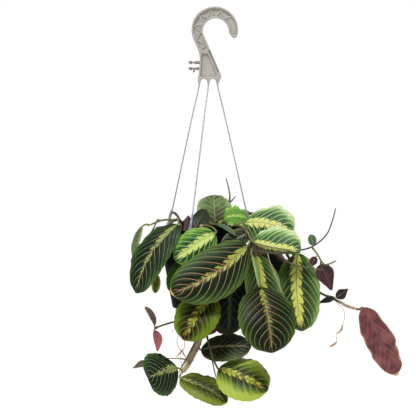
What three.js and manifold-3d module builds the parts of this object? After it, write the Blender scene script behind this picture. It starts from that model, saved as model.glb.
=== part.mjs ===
// Prayer plant (Maranta leuconeura) trailing from a hanging pot.
//
// Millimetres, +Z up, +X to the right and +Y to the back of the pot. The origin is the highest
// point inside the hanger's hook, where the whole plant hangs. A pot with three lugs hangs from
// the hook on three wires, each snapped to its lug by a clip. Stems stand in plain holes in the
// soil, arch over the rim and trail, and carry the leaves: a blade on its stalk is one solid.

import * as THREE from "three";
import { mergeVertices } from "three/addons/utils/BufferGeometryUtils.js";
import Module from "manifold-3d";

const wasm = await Module();
wasm.setup();

const CLEARANCE = 0.3; // air between two touching pieces
const WELD = 1e-4; // distance within which two vertices are one
const SLIVER = 0.01; // edges that a join leaves shorter than this are closed up

// ---- Driving dimensions ---------------------------------------------------------------------

const HOOK = {
  thickness: 9,
  arcSteps: 12,
  web: 3, // wall left between the pockets of the two faces
  throat: { x: 0, z: -19.5, radius: 19.5 },
  crown: { x: -1.5, z: -17.5, radius: 34.5 },
  crownArc: [-12, 198], // degrees, from the lip over the top to the back of the shank
  lip: [[24.2, -27.5], [26.8, -31.2], [29.8, -26.8], [31.8, -24.8]], // the tip's rounded end
  back: [[-31.3, -37.2], [-24, -47], [-23.7, -60], [-24, -72], [-26.6, -90]], // down the shank
  front: [[8, -87.5], [8.4, -85], [7.4, -82.8], [-19.5, -21.5]], // up from the prongs to the throat
  wireX: [-24.5, -11, 2.5], // the three prongs
  prongHalf: 2,
  archRadius: 4.8,
  archZ: -94.5,
  footZ: -96.5,
  boreTopZ: -88, // the wires end inside the prongs
};

// The pockets in each face: ribs zigzag between them round the crown and down the shank.
const POCKET = {
  band: [0.17, 0.85], // from the inner to the outer edge, as shares of the hook's width there
  shrink: 0.18, // a triangle's corners move this share of the way to its middle
  crownDegrees: [40, 56, 72, 88, 104, 120, 136, 152, 168, 184],
  shankLevels: [
    { z: -32, left: -31.2, right: -16 },
    { z: -40, left: -27.8, right: -12.4 },
    { z: -47, left: -25.4, right: -9.6 },
  ],
  tipDegrees: [-20, -5, 10, 22, 34],
  shankHollow: [
    [-21, -52.5], [-12.3, -52.5], [1.2, -83.8], [1.4, -87], [-4, -86.4], [-11, -87.4], [-18, -86.4],
    [-23, -86.8], [-21.3, -70],
  ],
};

// Two barbed pegs that hold a plant label stand out of the shank's left edge.
const PEG = {
  z: [-65.5, -74.5],
  rootX: -23.6,
  sides: 6,
  shaft: { radii: [1.5, 1.5], span: [0, 15.5] },
  block: { radii: [2.6, 2.6], span: [0, 8] },
  barb: { radii: [3.2, 0.7], span: [12.5, 17.5] },
};

const POT = {
  x: -19,
  rimZ: -312,
  height: 120,
  wall: 2,
  rimRadius: 72,
  lip: 1.5, // the band's inner edge stands this far in from its outer edge
  bandHeight: 9,
  bodyRadius: 66.5,
  baseRadius: 46.5,
  foot: 3, // the sloped edge of the base
  drainRadius: 3.5,
  drainCircle: 30,
  drainCount: 6,
  drainSides: 6,
  sides: 32,
};

const LUG = { reach: 74.5, radius: 6.5, thickness: 4, hole: 2.8, drop: 3, sides: 12, holeSides: 8 };

const WIRE = { radius: 0.95, sides: 6, steps: 6, shoulder: 31, lean: 0.25 };

// The angle of each wire's lug round the pot, from +X towards the front.
const WIRES = [
  { side: "left", prong: 0, angle: 224 },
  { side: "middle", prong: 1, angle: 104 },
  { side: "right", prong: 2, angle: -16 },
];

// Heights run up from the middle of the lug.
const CLIP = {
  sleeveRadius: 2,
  sleeveTop: 11,
  wireEnd: 4,
  ballRadius: 3.3,
  ballZ: 4.9,
  shankRadius: 2.1,
  knobRadius: 3.6,
  knobHeight: 4,
  sides: 6,
};

// The top of the soil falls in rings from its middle: [share of the radius, share of the hump].
const SOIL = {
  fillZ: -325,
  hump: 4,
  rings: [[0.66, 0.6], [0.33, 0.9], [0, 1]],
  lump: 2.2,
  lumpLength: [7, 6],
};

const LEAF = { thickness: 0.8, heelHalf: 0.9, tipHalf: 0.4, steps: [6, 4], smallSteps: [4, 2] };

// A stalk rises from its stem by a leaf's lift and reaches a little way along the midrib.
const STALK = { sides: 4, steps: 3, sheathRadius: 1.9, radius: 1.15, lead: 0.3, grip: 0.05 };

const STEM = { sides: 5, stepLength: 20 };

// ---- Looks ----------------------------------------------------------------------------------

const LOOKS = {
  hanger: { color: 0xcfcac0, roughness: 0.45, metalness: 0.0 },
  wire: { color: 0xa9abad, roughness: 0.35, metalness: 0.9 },
  clip: { color: 0x8b8e93, roughness: 0.5, metalness: 0.0 },
  pot: { color: 0x0b0b0c, roughness: 0.3, metalness: 0.0 },
  soil: { color: 0x2b1d14, roughness: 0.95, metalness: 0.0 },
  stem: { color: 0x6f6a3c, roughness: 0.6, metalness: 0.0 },
  dark: { color: 0x2f4a22, roughness: 0.5, metalness: 0.0 },
  bright: { color: 0x7fa83a, roughness: 0.5, metalness: 0.0 },
  maroon: { color: 0x6d3038, roughness: 0.6, metalness: 0.0 },
};

// ---- Solids ---------------------------------------------------------------------------------

/** The closed solid that a three.js geometry bounds, with its faces turned outwards. */
function solid(geometry) {
  const bare = geometry.clone();
  bare.deleteAttribute("normal");
  bare.deleteAttribute("uv");
  const merged = mergeVertices(bare, WELD);
  const vertices = new Float32Array(merged.attributes.position.array);
  const corner = (index) => new THREE.Vector3().fromArray(vertices, 3 * index);
  const triangles = [];
  let volume = 0;
  for (let i = 0; i < merged.index.count; i += 3) {
    const [a, b, c] = merged.index.array.slice(i, i + 3);
    if (a !== b && b !== c && c !== a) {
      triangles.push(a, b, c);
      volume += corner(a).dot(corner(b).cross(corner(c)));
    }
  }
  if (volume < 0) {
    triangles.reverse();
  }
  return new wasm.Manifold(
    new wasm.Mesh({ numProp: 3, vertProperties: vertices, triVerts: new Uint32Array(triangles) }),
  );
}

/** All the given solids joined in one. */
function join(solids) {
  return solids.reduce((whole, piece) => whole.add(piece));
}

/** The first solid with all the others cut away. */
function cut(body, tools) {
  return tools.reduce((rest, tool) => rest.subtract(tool), body);
}

/** The biggest body of a solid that a cut may have left with loose scraps. */
function biggest(body) {
  return body.decompose().reduce((best, piece) => (piece.volume() > best.volume() ? piece : best));
}

/** Puts a solid into the scene graph as a named mesh with its own material. */
function place(parent, name, body, look) {
  const { vertProperties, triVerts } = body.simplify(SLIVER).getMesh();
  const geometry = new THREE.BufferGeometry();
  geometry.setAttribute("position", new THREE.BufferAttribute(vertProperties, 3));
  geometry.setIndex(new THREE.BufferAttribute(triVerts, 1));
  geometry.computeVertexNormals();
  const mesh = new THREE.Mesh(geometry, new THREE.MeshStandardMaterial(look));
  mesh.name = name;
  parent.add(mesh);
}

/** A cylinder or cone that stands along +Z between two heights. */
function upright(bottomRadius, topRadius, bottomZ, topZ, sides) {
  const height = topZ - bottomZ;
  const geometry = new THREE.CylinderGeometry(topRadius, bottomRadius, height, sides);
  geometry.rotateX(Math.PI / 2);
  geometry.translate(0, 0, bottomZ + height / 2);
  return geometry;
}

/** A flat outline in X and Z, given its depth along Y from the front face towards the back. */
function plate(shape, frontY, depth) {
  const options = { depth, bevelEnabled: false, curveSegments: HOOK.arcSteps };
  const geometry = new THREE.ExtrudeGeometry(shape, options);
  geometry.rotateX(Math.PI / 2);
  geometry.translate(0, frontY + depth, 0);
  return geometry;
}

/** A closed tube along a curve, whose radius follows radiusAt(0) to radiusAt(1). */
function taperedTube(curve, radiusAt, sides, steps) {
  const { normals, binormals } = curve.computeFrenetFrames(steps, false);
  const positions = [];
  const index = [];
  for (let step = 0; step <= steps; step += 1) {
    const share = step / steps;
    const centre = curve.getPointAt(share);
    for (let side = 0; side < sides; side += 1) {
      const angle = (2 * Math.PI * side) / sides;
      const point = centre
        .clone()
        .addScaledVector(normals[step], radiusAt(share) * Math.cos(angle))
        .addScaledVector(binormals[step], radiusAt(share) * Math.sin(angle));
      positions.push(...point.toArray());
      if (step < steps) {
        const here = step * sides + side;
        const beside = step * sides + ((side + 1) % sides);
        index.push(here, beside, beside + sides, here, beside + sides, here + sides);
      }
    }
  }
  const last = steps * sides;
  for (let side = 1; side < sides - 1; side += 1) {
    index.push(0, side + 1, side, last, last + side, last + side + 1);
  }
  const geometry = new THREE.BufferGeometry();
  geometry.setAttribute("position", new THREE.Float32BufferAttribute(positions, 3));
  geometry.setIndex(index);
  return solid(geometry);
}

/** A smooth curve through points given as [x, y, z]. */
function through(points) {
  return new THREE.CatmullRomCurve3(points.map((point) => new THREE.Vector3(...point)), false, "centripetal");
}

// ---- Hanger ---------------------------------------------------------------------------------

/** A point on a circle of the hook, at an angle in degrees from +X. */
function onCircle(circle, degrees) {
  const angle = THREE.MathUtils.degToRad(degrees);
  return new THREE.Vector2(Math.cos(angle), Math.sin(angle))
    .multiplyScalar(circle.radius)
    .add(new THREE.Vector2(circle.x, circle.z));
}

/** The hook's outline: crown, shank, three prongs with two arches, and the throat. */
function hookOutline() {
  const { crown, throat, crownArc, lip, back, front, wireX, prongHalf, archRadius, archZ, footZ } = HOOK;
  const [startAngle, endAngle] = crownArc.map(THREE.MathUtils.degToRad);
  const start = onCircle(crown, crownArc[0]);
  const shape = new THREE.Shape();
  shape.moveTo(...lip[0]);
  shape.quadraticCurveTo(...lip[1], ...lip[2]);
  shape.quadraticCurveTo(...lip[3], start.x, start.y);
  shape.absarc(crown.x, crown.z, crown.radius, startAngle, endAngle, false);
  shape.bezierCurveTo(...back[0], ...back[1], ...back[2]);
  shape.quadraticCurveTo(...back[3], ...back[4]);
  wireX.forEach((x, prong) => {
    shape.lineTo(x - prongHalf, footZ);
    shape.lineTo(x + prongHalf, footZ);
    if (prong + 1 < wireX.length) {
      const middle = (x + wireX[prong + 1]) / 2;
      shape.lineTo(middle - archRadius, archZ);
      shape.absarc(middle, archZ, archRadius, Math.PI, 0, true);
    }
  });
  shape.lineTo(...front[0]);
  shape.quadraticCurveTo(...front[1], ...front[2]);
  shape.lineTo(...front[3]);
  shape.absarc(throat.x, throat.z, throat.radius, Math.PI, 0, true);
  shape.closePath();
  return shape;
}

/** A point of the hook's band: across 0 is its inner edge and 1 its outer edge. */
function bandPoint(station, across) {
  if (station.degrees !== undefined) {
    return onCircle(HOOK.throat, station.degrees).lerp(onCircle(HOOK.crown, station.degrees), across);
  }
  return new THREE.Vector2(THREE.MathUtils.lerp(station.right, station.left, across), station.z);
}

/** The outlines of the pockets in one face: a row of triangles and two long hollows. */
function pocketOutlines() {
  const [inner, outer] = POCKET.band;
  const stations = [...POCKET.crownDegrees.map((degrees) => ({ degrees })), ...POCKET.shankLevels];
  const triangles = stations.slice(2).map((end, i) => {
    const [base, apex] = i % 2 ? [inner, outer] : [outer, inner];
    const corners = [bandPoint(stations[i], base), bandPoint(stations[i + 1], apex), bandPoint(end, base)];
    const centre = corners[0].clone().add(corners[1]).add(corners[2]).divideScalar(3);
    return corners.map((corner) => corner.lerp(centre, POCKET.shrink));
  });
  const tipHollow = [
    ...POCKET.tipDegrees.map((degrees) => bandPoint({ degrees }, inner)),
    ...POCKET.tipDegrees.toReversed().map((degrees) => bandPoint({ degrees }, outer)),
  ];
  const shankHollow = POCKET.shankHollow.map(([x, z]) => new THREE.Vector2(x, z));
  return [...triangles, tipHollow, shankHollow];
}

/** A barbed peg that stands out of the shank's left edge. */
function labelPeg(z) {
  const pieces = [PEG.shaft, PEG.block, PEG.barb].map(({ radii, span }) => {
    const geometry = upright(...radii, ...span, PEG.sides);
    return solid(geometry.rotateY(-Math.PI / 2).translate(PEG.rootX, 0, z));
  });
  return join(pieces);
}

/** The moulded hook with its pockets, pegs and the bores that grip the wires. */
function buildHook(wireCutters) {
  const half = HOOK.thickness / 2;
  const pocketDepth = (HOOK.thickness - HOOK.web) / 2;
  const pockets = pocketOutlines().flatMap((outline) => {
    const shape = new THREE.Shape(outline);
    return [plate(shape, -half - 1, pocketDepth + 1), plate(shape, half - pocketDepth, pocketDepth + 1)];
  });
  const body = join([solid(plate(hookOutline(), -half, HOOK.thickness)), ...PEG.z.map(labelPeg)]);
  return cut(body, [...pockets.map(solid), ...wireCutters]);
}

// ---- Wires and clips ------------------------------------------------------------------------

/** The centre of a lug's hole, half way through its thickness. */
function lugCentre(degrees) {
  const angle = THREE.MathUtils.degToRad(degrees);
  return new THREE.Vector3(Math.cos(angle), -Math.sin(angle), 0)
    .multiplyScalar(LUG.reach)
    .add(new THREE.Vector3(POT.x, 0, POT.rimZ - LUG.drop));
}

/** The direction of a wire from its lug up to its prong. */
function wireDirection({ prong, angle }) {
  return new THREE.Vector3(HOOK.wireX[prong], 0, HOOK.footZ).sub(lugCentre(angle)).normalize();
}

/** A wire's centre line, from inside its prong to inside its clip. */
function wireCurve(wire, overrun) {
  const x = HOOK.wireX[wire.prong];
  const up = wireDirection(wire);
  const foot = new THREE.Vector3(x, 0, HOOK.footZ);
  const shoulder = lugCentre(wire.angle).addScaledVector(up, WIRE.shoulder);
  const points = [
    new THREE.Vector3(x, 0, HOOK.boreTopZ + overrun),
    new THREE.Vector3(x, 0, HOOK.footZ - 1),
    foot.lerp(shoulder, WIRE.lean),
    shoulder,
    lugCentre(wire.angle).addScaledVector(up, CLIP.wireEnd - overrun),
  ];
  return new THREE.CatmullRomCurve3(points, false, "centripetal");
}

/** A wire, or with a margin the cutter that makes its bore. */
function wireSolid(wire, margin) {
  const section = new THREE.Shape();
  section.absarc(0, 0, WIRE.radius + margin, 0, 2 * Math.PI, false);
  return solid(new THREE.ExtrudeGeometry(section, {
    steps: WIRE.steps,
    curveSegments: WIRE.sides / 2, // a full circle gets two sides a segment
    bevelEnabled: false,
    extrudePath: wireCurve(wire, margin),
  }));
}

/** The clip: a sleeve and ball round the wire's end, and a shank snapped through the lug. */
function buildClip(wire, wireCutter) {
  const { sleeveRadius, sleeveTop, ballRadius, ballZ, shankRadius, knobRadius, knobHeight, sides } = CLIP;
  const lugFace = LUG.thickness / 2 + CLEARANCE;
  const tilt = new THREE.Quaternion().setFromUnitVectors(new THREE.Vector3(0, 0, 1), wireDirection(wire));
  const sleeve = upright(sleeveRadius, sleeveRadius, 0, sleeveTop - ballZ, sides);
  sleeve.applyQuaternion(tilt).translate(0, 0, ballZ);
  const ball = new THREE.SphereGeometry(ballRadius, sides, sides - 2);
  ball.rotateX(Math.PI / 2).translate(0, 0, ballZ);
  const belowFace = upright(2 * ballRadius, 2 * ballRadius, ballZ - 2 * ballRadius, lugFace, sides);
  const top = cut(join([solid(sleeve), solid(ball)]), [solid(belowFace)]);
  const shank = upright(shankRadius, shankRadius, -lugFace - knobHeight, ballZ, sides);
  const knob = upright(shankRadius, knobRadius, -lugFace - knobHeight, -lugFace, sides);
  const clip = join([top, solid(shank), solid(knob)]);
  return cut(clip.translate(...lugCentre(wire.angle).toArray()), [wireCutter]);
}

// ---- Pot and soil ---------------------------------------------------------------------------

/** A profile of [radius, z] points turned round the pot's axis. */
function turned(profile) {
  const points = profile.map(([radius, z]) => new THREE.Vector2(radius, z));
  const geometry = new THREE.LatheGeometry(points, POT.sides);
  geometry.rotateX(Math.PI / 2);
  geometry.translate(POT.x, 0, POT.rimZ);
  return geometry;
}

/** The pot: a tapered cup with a flared rim band, three lugs and drain holes. */
function buildPot() {
  const { height, wall, rimRadius, lip, bandHeight, bodyRadius, baseRadius, foot } = POT;
  const innerRim = rimRadius - lip - wall / 2;
  const cup = solid(turned([
    [0, -height],
    [baseRadius - foot, -height],
    [baseRadius, -height + foot],
    [bodyRadius, -bandHeight],
    [rimRadius - lip, -bandHeight],
    [rimRadius, -1],
    [rimRadius - 1, 0],
    [innerRim, 0],
    [bodyRadius - wall, -bandHeight - 1],
    [baseRadius - wall, -height + wall + foot - 1],
    [baseRadius - wall - foot, -height + wall],
    [0, -height + wall],
  ]));
  const lugs = WIRES.map(({ angle }) => {
    const eye = upright(LUG.radius, LUG.radius, -LUG.thickness / 2, LUG.thickness / 2, LUG.sides);
    return solid(eye.translate(...lugCentre(angle).toArray()));
  });
  const holes = WIRES.map(({ angle }) => {
    const hole = upright(LUG.hole, LUG.hole, -LUG.thickness, LUG.thickness, LUG.holeSides);
    return solid(hole.translate(...lugCentre(angle).toArray()));
  });
  const inside = solid(turned([
    [0, -height + wall + 1],
    [baseRadius - wall - foot, -height + wall + 1],
    [bodyRadius - wall, -bandHeight - 1],
    [innerRim, 0],
    [innerRim, 1],
    [0, 1],
  ]));
  const drains = Array.from({ length: POT.drainCount }, (_, k) => {
    const angle = (2 * Math.PI * k) / POT.drainCount;
    const drain = upright(POT.drainRadius, POT.drainRadius, -height - 1, -height + wall + 1, POT.drainSides);
    drain.translate(POT.drainCircle * Math.cos(angle), POT.drainCircle * Math.sin(angle), 0);
    return solid(drain.translate(POT.x, 0, POT.rimZ));
  });
  return cut(join([cup, ...lugs]), [inside, ...holes, ...drains]);
}

/** The soil: it fills the pot to just below the rim, with a lumpy top. */
function buildSoil(stemCutters) {
  const { height, wall, bandHeight, bodyRadius, baseRadius, foot } = POT;
  const top = SOIL.fillZ - POT.rimZ;
  const floor = -height + wall;
  const share = (-top - bandHeight - 1) / (-floor - foot - bandHeight);
  const topRadius = THREE.MathUtils.lerp(bodyRadius - wall, baseRadius - wall, share) - 2 * CLEARANCE;
  const geometry = turned([
    [0, floor + CLEARANCE],
    [baseRadius - wall - foot - CLEARANCE, floor + CLEARANCE],
    [baseRadius - wall - 2 * CLEARANCE, floor + foot],
    [topRadius, top],
    ...SOIL.rings.map(([across, up]) => [across * topRadius, top + up * SOIL.hump]),
  ]);
  const position = geometry.attributes.position;
  for (let i = 0; i < position.count; i += 1) {
    const [x, y, z] = [position.getX(i), position.getY(i), position.getZ(i)];
    if (z > SOIL.fillZ + 1) {
      const wave = Math.sin(x / SOIL.lumpLength[0] + 1) * Math.cos(y / SOIL.lumpLength[1]);
      position.setZ(i, z + SOIL.lump * wave);
    }
  }
  return cut(solid(geometry), stemCutters);
}

// ---- Stems ----------------------------------------------------------------------------------

// Each stem is one or more branches: the first stands in the soil, the others fork from it.
// Points run from root to tip, and radius gives the root's and the tip's.
const STEMS = {
  stem_crown: [
    { points: [[-2, 8, -338], [-2, 6, -317], [4, -2, -299], [8, -6, -286]], radius: [2.4, 1.6] },
    { points: [[4, -3, -295], [14, -6, -278], [18, -8, -262], [13, -6, -236]], radius: [1.7, 0.7] },
    { points: [[15, -7, -273], [20, -8, -269], [27, -10, -263]], radius: [1.3, 0.7] },
  ],
  stem_left: [
    {
      points: [
        [-40, -14, -340], [-45, -32, -309], [-58, -54, -297], [-74, -66, -312], [-84, -67, -345],
        [-87, -64, -371],
      ],
      radius: [2.6, 1.5],
    },
    { points: [[-58, -54, -297], [-78, -46, -298], [-98, -38, -306]], radius: [1.8, 1.2] },
  ],
  stem_front: [
    {
      points: [
        [8, -20, -341], [20, -40, -311], [35, -60, -306], [46, -74, -317], [52, -80, -336],
        [54, -86, -350],
      ],
      radius: [2.6, 1.6],
    },
    {
      points: [
        [52, -77, -334], [58, -98, -338], [73, -110, -340], [92, -112, -340], [113, -102, -338],
        [138, -84, -333], [158, -78, -317], [166, -75, -300], [172, -72, -279],
      ],
      radius: [1.9, 0.8],
    },
    {
      points: [
        [87, -112, -341], [108, -106, -357], [130, -102, -362], [151, -101, -365],
      ],
      radius: [1.4, 1.1],
    },
    {
      points: [
        [137, -84, -334], [145, -87, -345], [154, -95, -358], [171, -92, -353],
      ],
      radius: [1.6, 1.2],
    },
  ],
  stem_right: [
    {
      points: [
        [24, 8, -338], [44, -4, -305], [66, -14, -294], [88, -24, -315], [98, -32, -343],
      ],
      radius: [2.5, 1.5],
    },
  ],
  stem_far_right: [
    {
      points: [
        [14, 26, -337], [38, 40, -298], [66, 32, -295], [98, 6, -336], [129, -20, -390],
        [155, -30, -407], [175, -32, -416], [191, -31, -425], [213, -30, -432],
      ],
      radius: [2.6, 1.8],
    },
  ],
  stem_low: [
    {
      points: [
        [-24, -26, -341], [-22, -50, -311], [-21, -73, -306], [-20, -79, -320], [-18, -74, -350],
        [-17, -72, -390], [-18, -68, -438], [-24, -66, -473], [-36, -66, -499], [-48, -66, -518],
      ],
      radius: [2.4, 4],
    },
    { points: [[-18, -68, -438], [-10, -66, -477], [-5, -66, -495], [2, -68, -510]], radius: [1.8, 1.5] },
    {
      points: [
        [-18, -68, -434], [-40, -64, -442], [-62, -64, -445], [-88, -66, -453],
      ],
      radius: [1.8, 1.3],
    },
    { points: [[-8, -66, -485], [-4, -60, -506], [0, -58, -523]], radius: [1.3, 0.8] },
  ],
  stem_back_left: [
    {
      points: [
        [-46, 22, -337], [-58, 46, -298], [-70, 74, -296], [-74, 84, -335], [-70, 84, -384],
      ],
      radius: [2.5, 1.5],
    },
  ],
  stem_back: [
    {
      points: [
        [-14, 34, -336], [-12, 58, -295], [-10, 86, -295], [-8, 94, -344], [-6, 92, -413],
      ],
      radius: [2.5, 1.5],
    },
  ],
  stem_back_right: [
    {
      points: [
        [8, 44, -336], [26, 62, -295], [48, 76, -298], [62, 80, -345], [64, 78, -405],
      ],
      radius: [2.5, 1.5],
    },
  ],
};

/** One branch of a stem, or with a margin the cutter that keeps others clear of it. */
function branchSolid({ points, radius }, margin) {
  const curve = through(points);
  const steps = Math.max(4, Math.round(curve.getLength() / STEM.stepLength));
  const radiusAt = (share) => THREE.MathUtils.lerp(radius[0], radius[1], share) + margin;
  return taperedTube(curve, radiusAt, STEM.sides, steps);
}

/** A whole stem with its branches fused. */
function stemSolid(name, margin) {
  return join(STEMS[name].map((branch) => branchSolid(branch, margin)));
}

// ---- Leaves ---------------------------------------------------------------------------------

// What a leaf has unless its row says otherwise.
const PLAIN_LEAF = { branch: 0, fold: 8, curl: 30, bow: 8, sway: 0, lift: 0.3, fused: false };

// stem, branch and at say where on its stem a leaf's stalk starts. heel and tip are the ends of
// its midrib, and face is the side that its upper surface looks to. fold lifts each half from the
// midrib and curl turns its margin down, in degrees, once or as [left, right] of a leaf that
// hangs with its face to the viewer. bow arches the midrib towards the face and sway bends it to
// the right. A fused leaf is a small one that stays one solid with its stem.
const LEAVES = [
  // Left of the pot
  {
    name: "leaf_left_large", stem: "stem_left", at: 0.42, look: "dark",
    heel: [-56, -72, -303], tip: [-114, -92, -399], face: [-0.5, -0.82, 0.2],
    width: 66, sway: -8,
  },
  {
    name: "leaf_left_inner", stem: "stem_low", at: 0.16, look: "bright",
    heel: [-2, -84, -315], tip: [-59, -90, -352], face: [0, -0.92, 0.35],
    width: 52, fold: 6, curl: 24, bow: 3,
  },
  {
    name: "leaf_left_edge", stem: "stem_left", branch: 1, at: 1, look: "dark",
    heel: [-108, -38, -308], tip: [-119, -48, -356], face: [-0.9, 0.3, 0.2],
    width: 34, fold: 14, curl: 20, bow: 3,
  },
  {
    name: "leaf_side_left", stem: "stem_left", branch: 1, at: 0.6, look: "bright",
    heel: [-96, -14, -318], tip: [-112, 2, -388], face: [-0.95, 0.1, 0.3],
    width: 54,
  },
  {
    name: "leaf_left_hidden", stem: "stem_left", at: 0.6, look: "dark",
    heel: [-50, -74, -356], tip: [-65, -76, -400], face: [-0.3, -0.9, 0.1],
    width: 26, fold: 12, curl: 20, bow: 2,
  },
  {
    fused: true, stem: "stem_left", at: 0.2,
    heel: [-40, -46, -316], tip: [-56, -50, -301], face: [0.67, 0, 0.74],
    width: 34, fold: 62, curl: 10, bow: 2,
  },
  {
    fused: true, stem: "stem_left", at: 1,
    heel: [-87, -64, -375], tip: [-88, -70, -402], face: [0.2, -0.9, 0.1],
    width: 14, fold: 24, curl: 20, bow: 2,
  },

  // Crown
  {
    name: "leaf_crown_round", stem: "stem_crown", at: 0.5, look: "dark",
    heel: [-1, -18, -302], tip: [-4, 2, -263], face: [0, -0.9, 0.35],
    width: 52, fold: 6, curl: 24, bow: 6,
  },
  {
    name: "leaf_crown_shade", stem: "stem_left", at: 0.18, look: "dark",
    heel: [-34, -38, -316], tip: [-15, -28, -283], face: [0.3, 0.9, 0.1],
    width: 26, fold: 14, curl: 20, bow: 3, lift: 0,
  },
  {
    name: "leaf_crown_young", stem: "stem_right", at: 0.44, look: "bright",
    heel: [47, -22, -297], tip: [12, -28, -296], face: [0, -0.75, 0.65],
    width: 40, fold: 16, curl: 40, bow: 6,
  },
  {
    name: "leaf_crown_low", stem: "stem_front", at: 0.55, look: "dark",
    heel: [49, -66, -314], tip: [8, -80, -334], face: [0, -0.95, 0.3],
    width: 28, fold: 10, curl: 24, bow: 3,
  },
  {
    fused: true, stem: "stem_crown", at: 0.35,
    heel: [-4, -40, -305], tip: [27, -84, -318], face: [0.1, -0.4, 0.9],
    width: 12, fold: 34, curl: 10, bow: 3,
  },
  {
    name: "leaf_crown_back_left", stem: "stem_left", at: 0.23, look: "dark",
    heel: [-30, 12, -312], tip: [-34, 50, -306], face: [-0.2, 0.1, 0.95],
    width: 34, curl: 24, bow: 4,
  },
  {
    name: "leaf_crown_back_right", stem: "stem_crown", at: 0.42, look: "bright",
    heel: [4, 19, -309], tip: [8, 54, -302], face: [0.1, -0.1, 0.95],
    width: 40, curl: 24, bow: 4,
  },

  // Right of the pot
  {
    name: "leaf_right_upper", stem: "stem_front", at: 0.45, look: "bright",
    heel: [43, -50, -301], tip: [110, -82, -316], face: [0.1, -0.85, 0.5],
    width: 74, fold: [-25, 6], curl: [40, 30], bow: 6, sway: 4,
  },
  {
    name: "leaf_right_middle", stem: "stem_front", at: 0.66, look: "bright",
    heel: [54, -84, -327], tip: [119, -110, -336], face: [0, -0.9, 0.45],
    width: 70, fold: [-75, 6], curl: [66, 24], bow: 6, sway: -5,
  },
  {
    name: "leaf_right_large", stem: "stem_right", at: 0.8, look: "bright",
    heel: [118, -62, -346], tip: [122, -96, -453], face: [0.15, -0.95, 0.25],
    width: 74, fold: [-40, 6], curl: [10, 32], sway: -6,
  },
  {
    name: "leaf_right_shade", stem: "stem_right", at: 0.95, look: "dark",
    heel: [71, -36, -349], tip: [105, -38, -411], face: [0.1, -0.95, 0.2],
    width: 42, fold: 10, bow: 4,
  },
  {
    name: "leaf_right_maroon", stem: "stem_front", branch: 3, at: 0.5, look: "maroon",
    heel: [149, -88, -359], tip: [166, -82, -397], face: [0.1, 0.95, 0.1],
    width: 34, fold: 12, curl: 24, bow: 4, lift: 0,
  },
  {
    name: "leaf_side_right_top", stem: "stem_right", at: 0.5, look: "dark",
    heel: [80, 6, -291], tip: [112, 28, -335], face: [0.6, 0.3, 0.7],
    width: 58,
  },
  {
    name: "leaf_side_right_low", stem: "stem_right", at: 0.9, look: "bright",
    heel: [112, -20, -348], tip: [136, 14, -400], face: [0.8, 0.1, 0.4],
    width: 52,
  },
  {
    fused: true, stem: "stem_front", branch: 3, at: 0.02,
    heel: [139, -85, -331], tip: [134, -88, -316], face: [0.2, -0.9, 0.1],
    width: 13, fold: 10, curl: 10, bow: 1, lift: 0,
  },
  {
    fused: true, stem: "stem_front", branch: 3, at: 0.3,
    heel: [142, -87, -348], tip: [136, -86, -360], face: [0.1, 0.95, 0.1],
    width: 12, fold: 20, curl: 10, bow: 1, lift: 0,
  },
  {
    name: "leaf_side_right_back", stem: "stem_back_right", at: 0.3, look: "bright",
    heel: [66, 46, -300], tip: [98, 34, -352], face: [0.8, 0.3, 0.5],
    width: 48,
  },

  // Far right
  {
    name: "leaf_far_right_large", stem: "stem_far_right", at: 1, look: "maroon",
    heel: [218, -32, -429], tip: [269, -42, -529], face: [-0.1, 0.95, -0.1],
    width: 54, fold: 20, curl: 20, bow: -6, lift: 0.5,
  },
  {
    fused: true, stem: "stem_far_right", at: 0.8,
    heel: [174, -38, -413], tip: [150, -46, -420], face: [0, -0.9, 0.3],
    width: 10, fold: 10, curl: 10, bow: 2, lift: 0,
  },
  {
    fused: true, stem: "stem_far_right", at: 0.82,
    heel: [177, -37, -413], tip: [194, -44, -399], face: [0.2, 0.9, 0.2],
    width: 18, fold: 20, curl: 10, bow: 0, lift: 0,
  },

  // Front
  {
    name: "leaf_front_large", stem: "stem_front", at: 0.8, look: "dark",
    heel: [44, -94, -332], tip: [-63, -122, -396], face: [-0.05, -0.95, 0.25],
    width: 76, curl: 36, sway: 9,
  },
  {
    name: "leaf_front_band", stem: "stem_front", at: 0.86, look: "bright",
    heel: [58, -76, -347], tip: [76, -84, -436], face: [0.1, -0.95, 0.15],
    width: 52, bow: 4,
  },
  {
    name: "leaf_front_rolled", stem: "stem_front", at: 0.9, look: "bright",
    heel: [50, -104, -344], tip: [60, -110, -389], face: [-0.6, -0.8, 0],
    width: 18, fold: -30, curl: 105, bow: 0,
  },
  {
    name: "leaf_front_low", stem: "stem_front", at: 1, look: "bright",
    heel: [63, -102, -391], tip: [77, -148, -475], face: [0.1, -0.85, 0.5],
    width: 84, curl: 34, bow: 14, lift: -0.1,
  },
  {
    name: "leaf_front_shade", stem: "stem_low", at: 0.3, look: "dark",
    heel: [22, -68, -361], tip: [18, -82, -461], face: [0, -0.95, 0.25],
    width: 56, bow: 4, lift: 0,
  },

  // Below the pot
  {
    name: "leaf_low_yellow", stem: "stem_low", at: 0.6, look: "bright",
    heel: [-6, -88, -404], tip: [-46, -112, -463], face: [-0.2, -0.85, 0.5],
    width: 66, bow: 10,
  },
  {
    name: "leaf_low_left_upper", stem: "stem_low", branch: 2, at: 1, look: "maroon",
    heel: [-89, -66, -449], tip: [-103, -70, -422], face: [0.6, 0.7, 0.2],
    width: 18, fold: 30, curl: 20, bow: 2, lift: 0,
  },
  {
    name: "leaf_low_left_lower", stem: "stem_low", branch: 2, at: 0.95, look: "maroon",
    heel: [-89, -72, -456], tip: [-85, -76, -486], face: [0.5, 0.8, 0.2],
    width: 22, fold: 30, curl: 20, bow: 3, lift: 0,
  },
  {
    name: "leaf_low_left", stem: "stem_low", at: 1, look: "dark",
    heel: [-57, -70, -511], tip: [-97, -104, -519], face: [0.1, -0.7, 0.6],
    width: 72, fold: [12, -26], curl: [30, 30], bow: 4,
  },
  {
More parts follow.
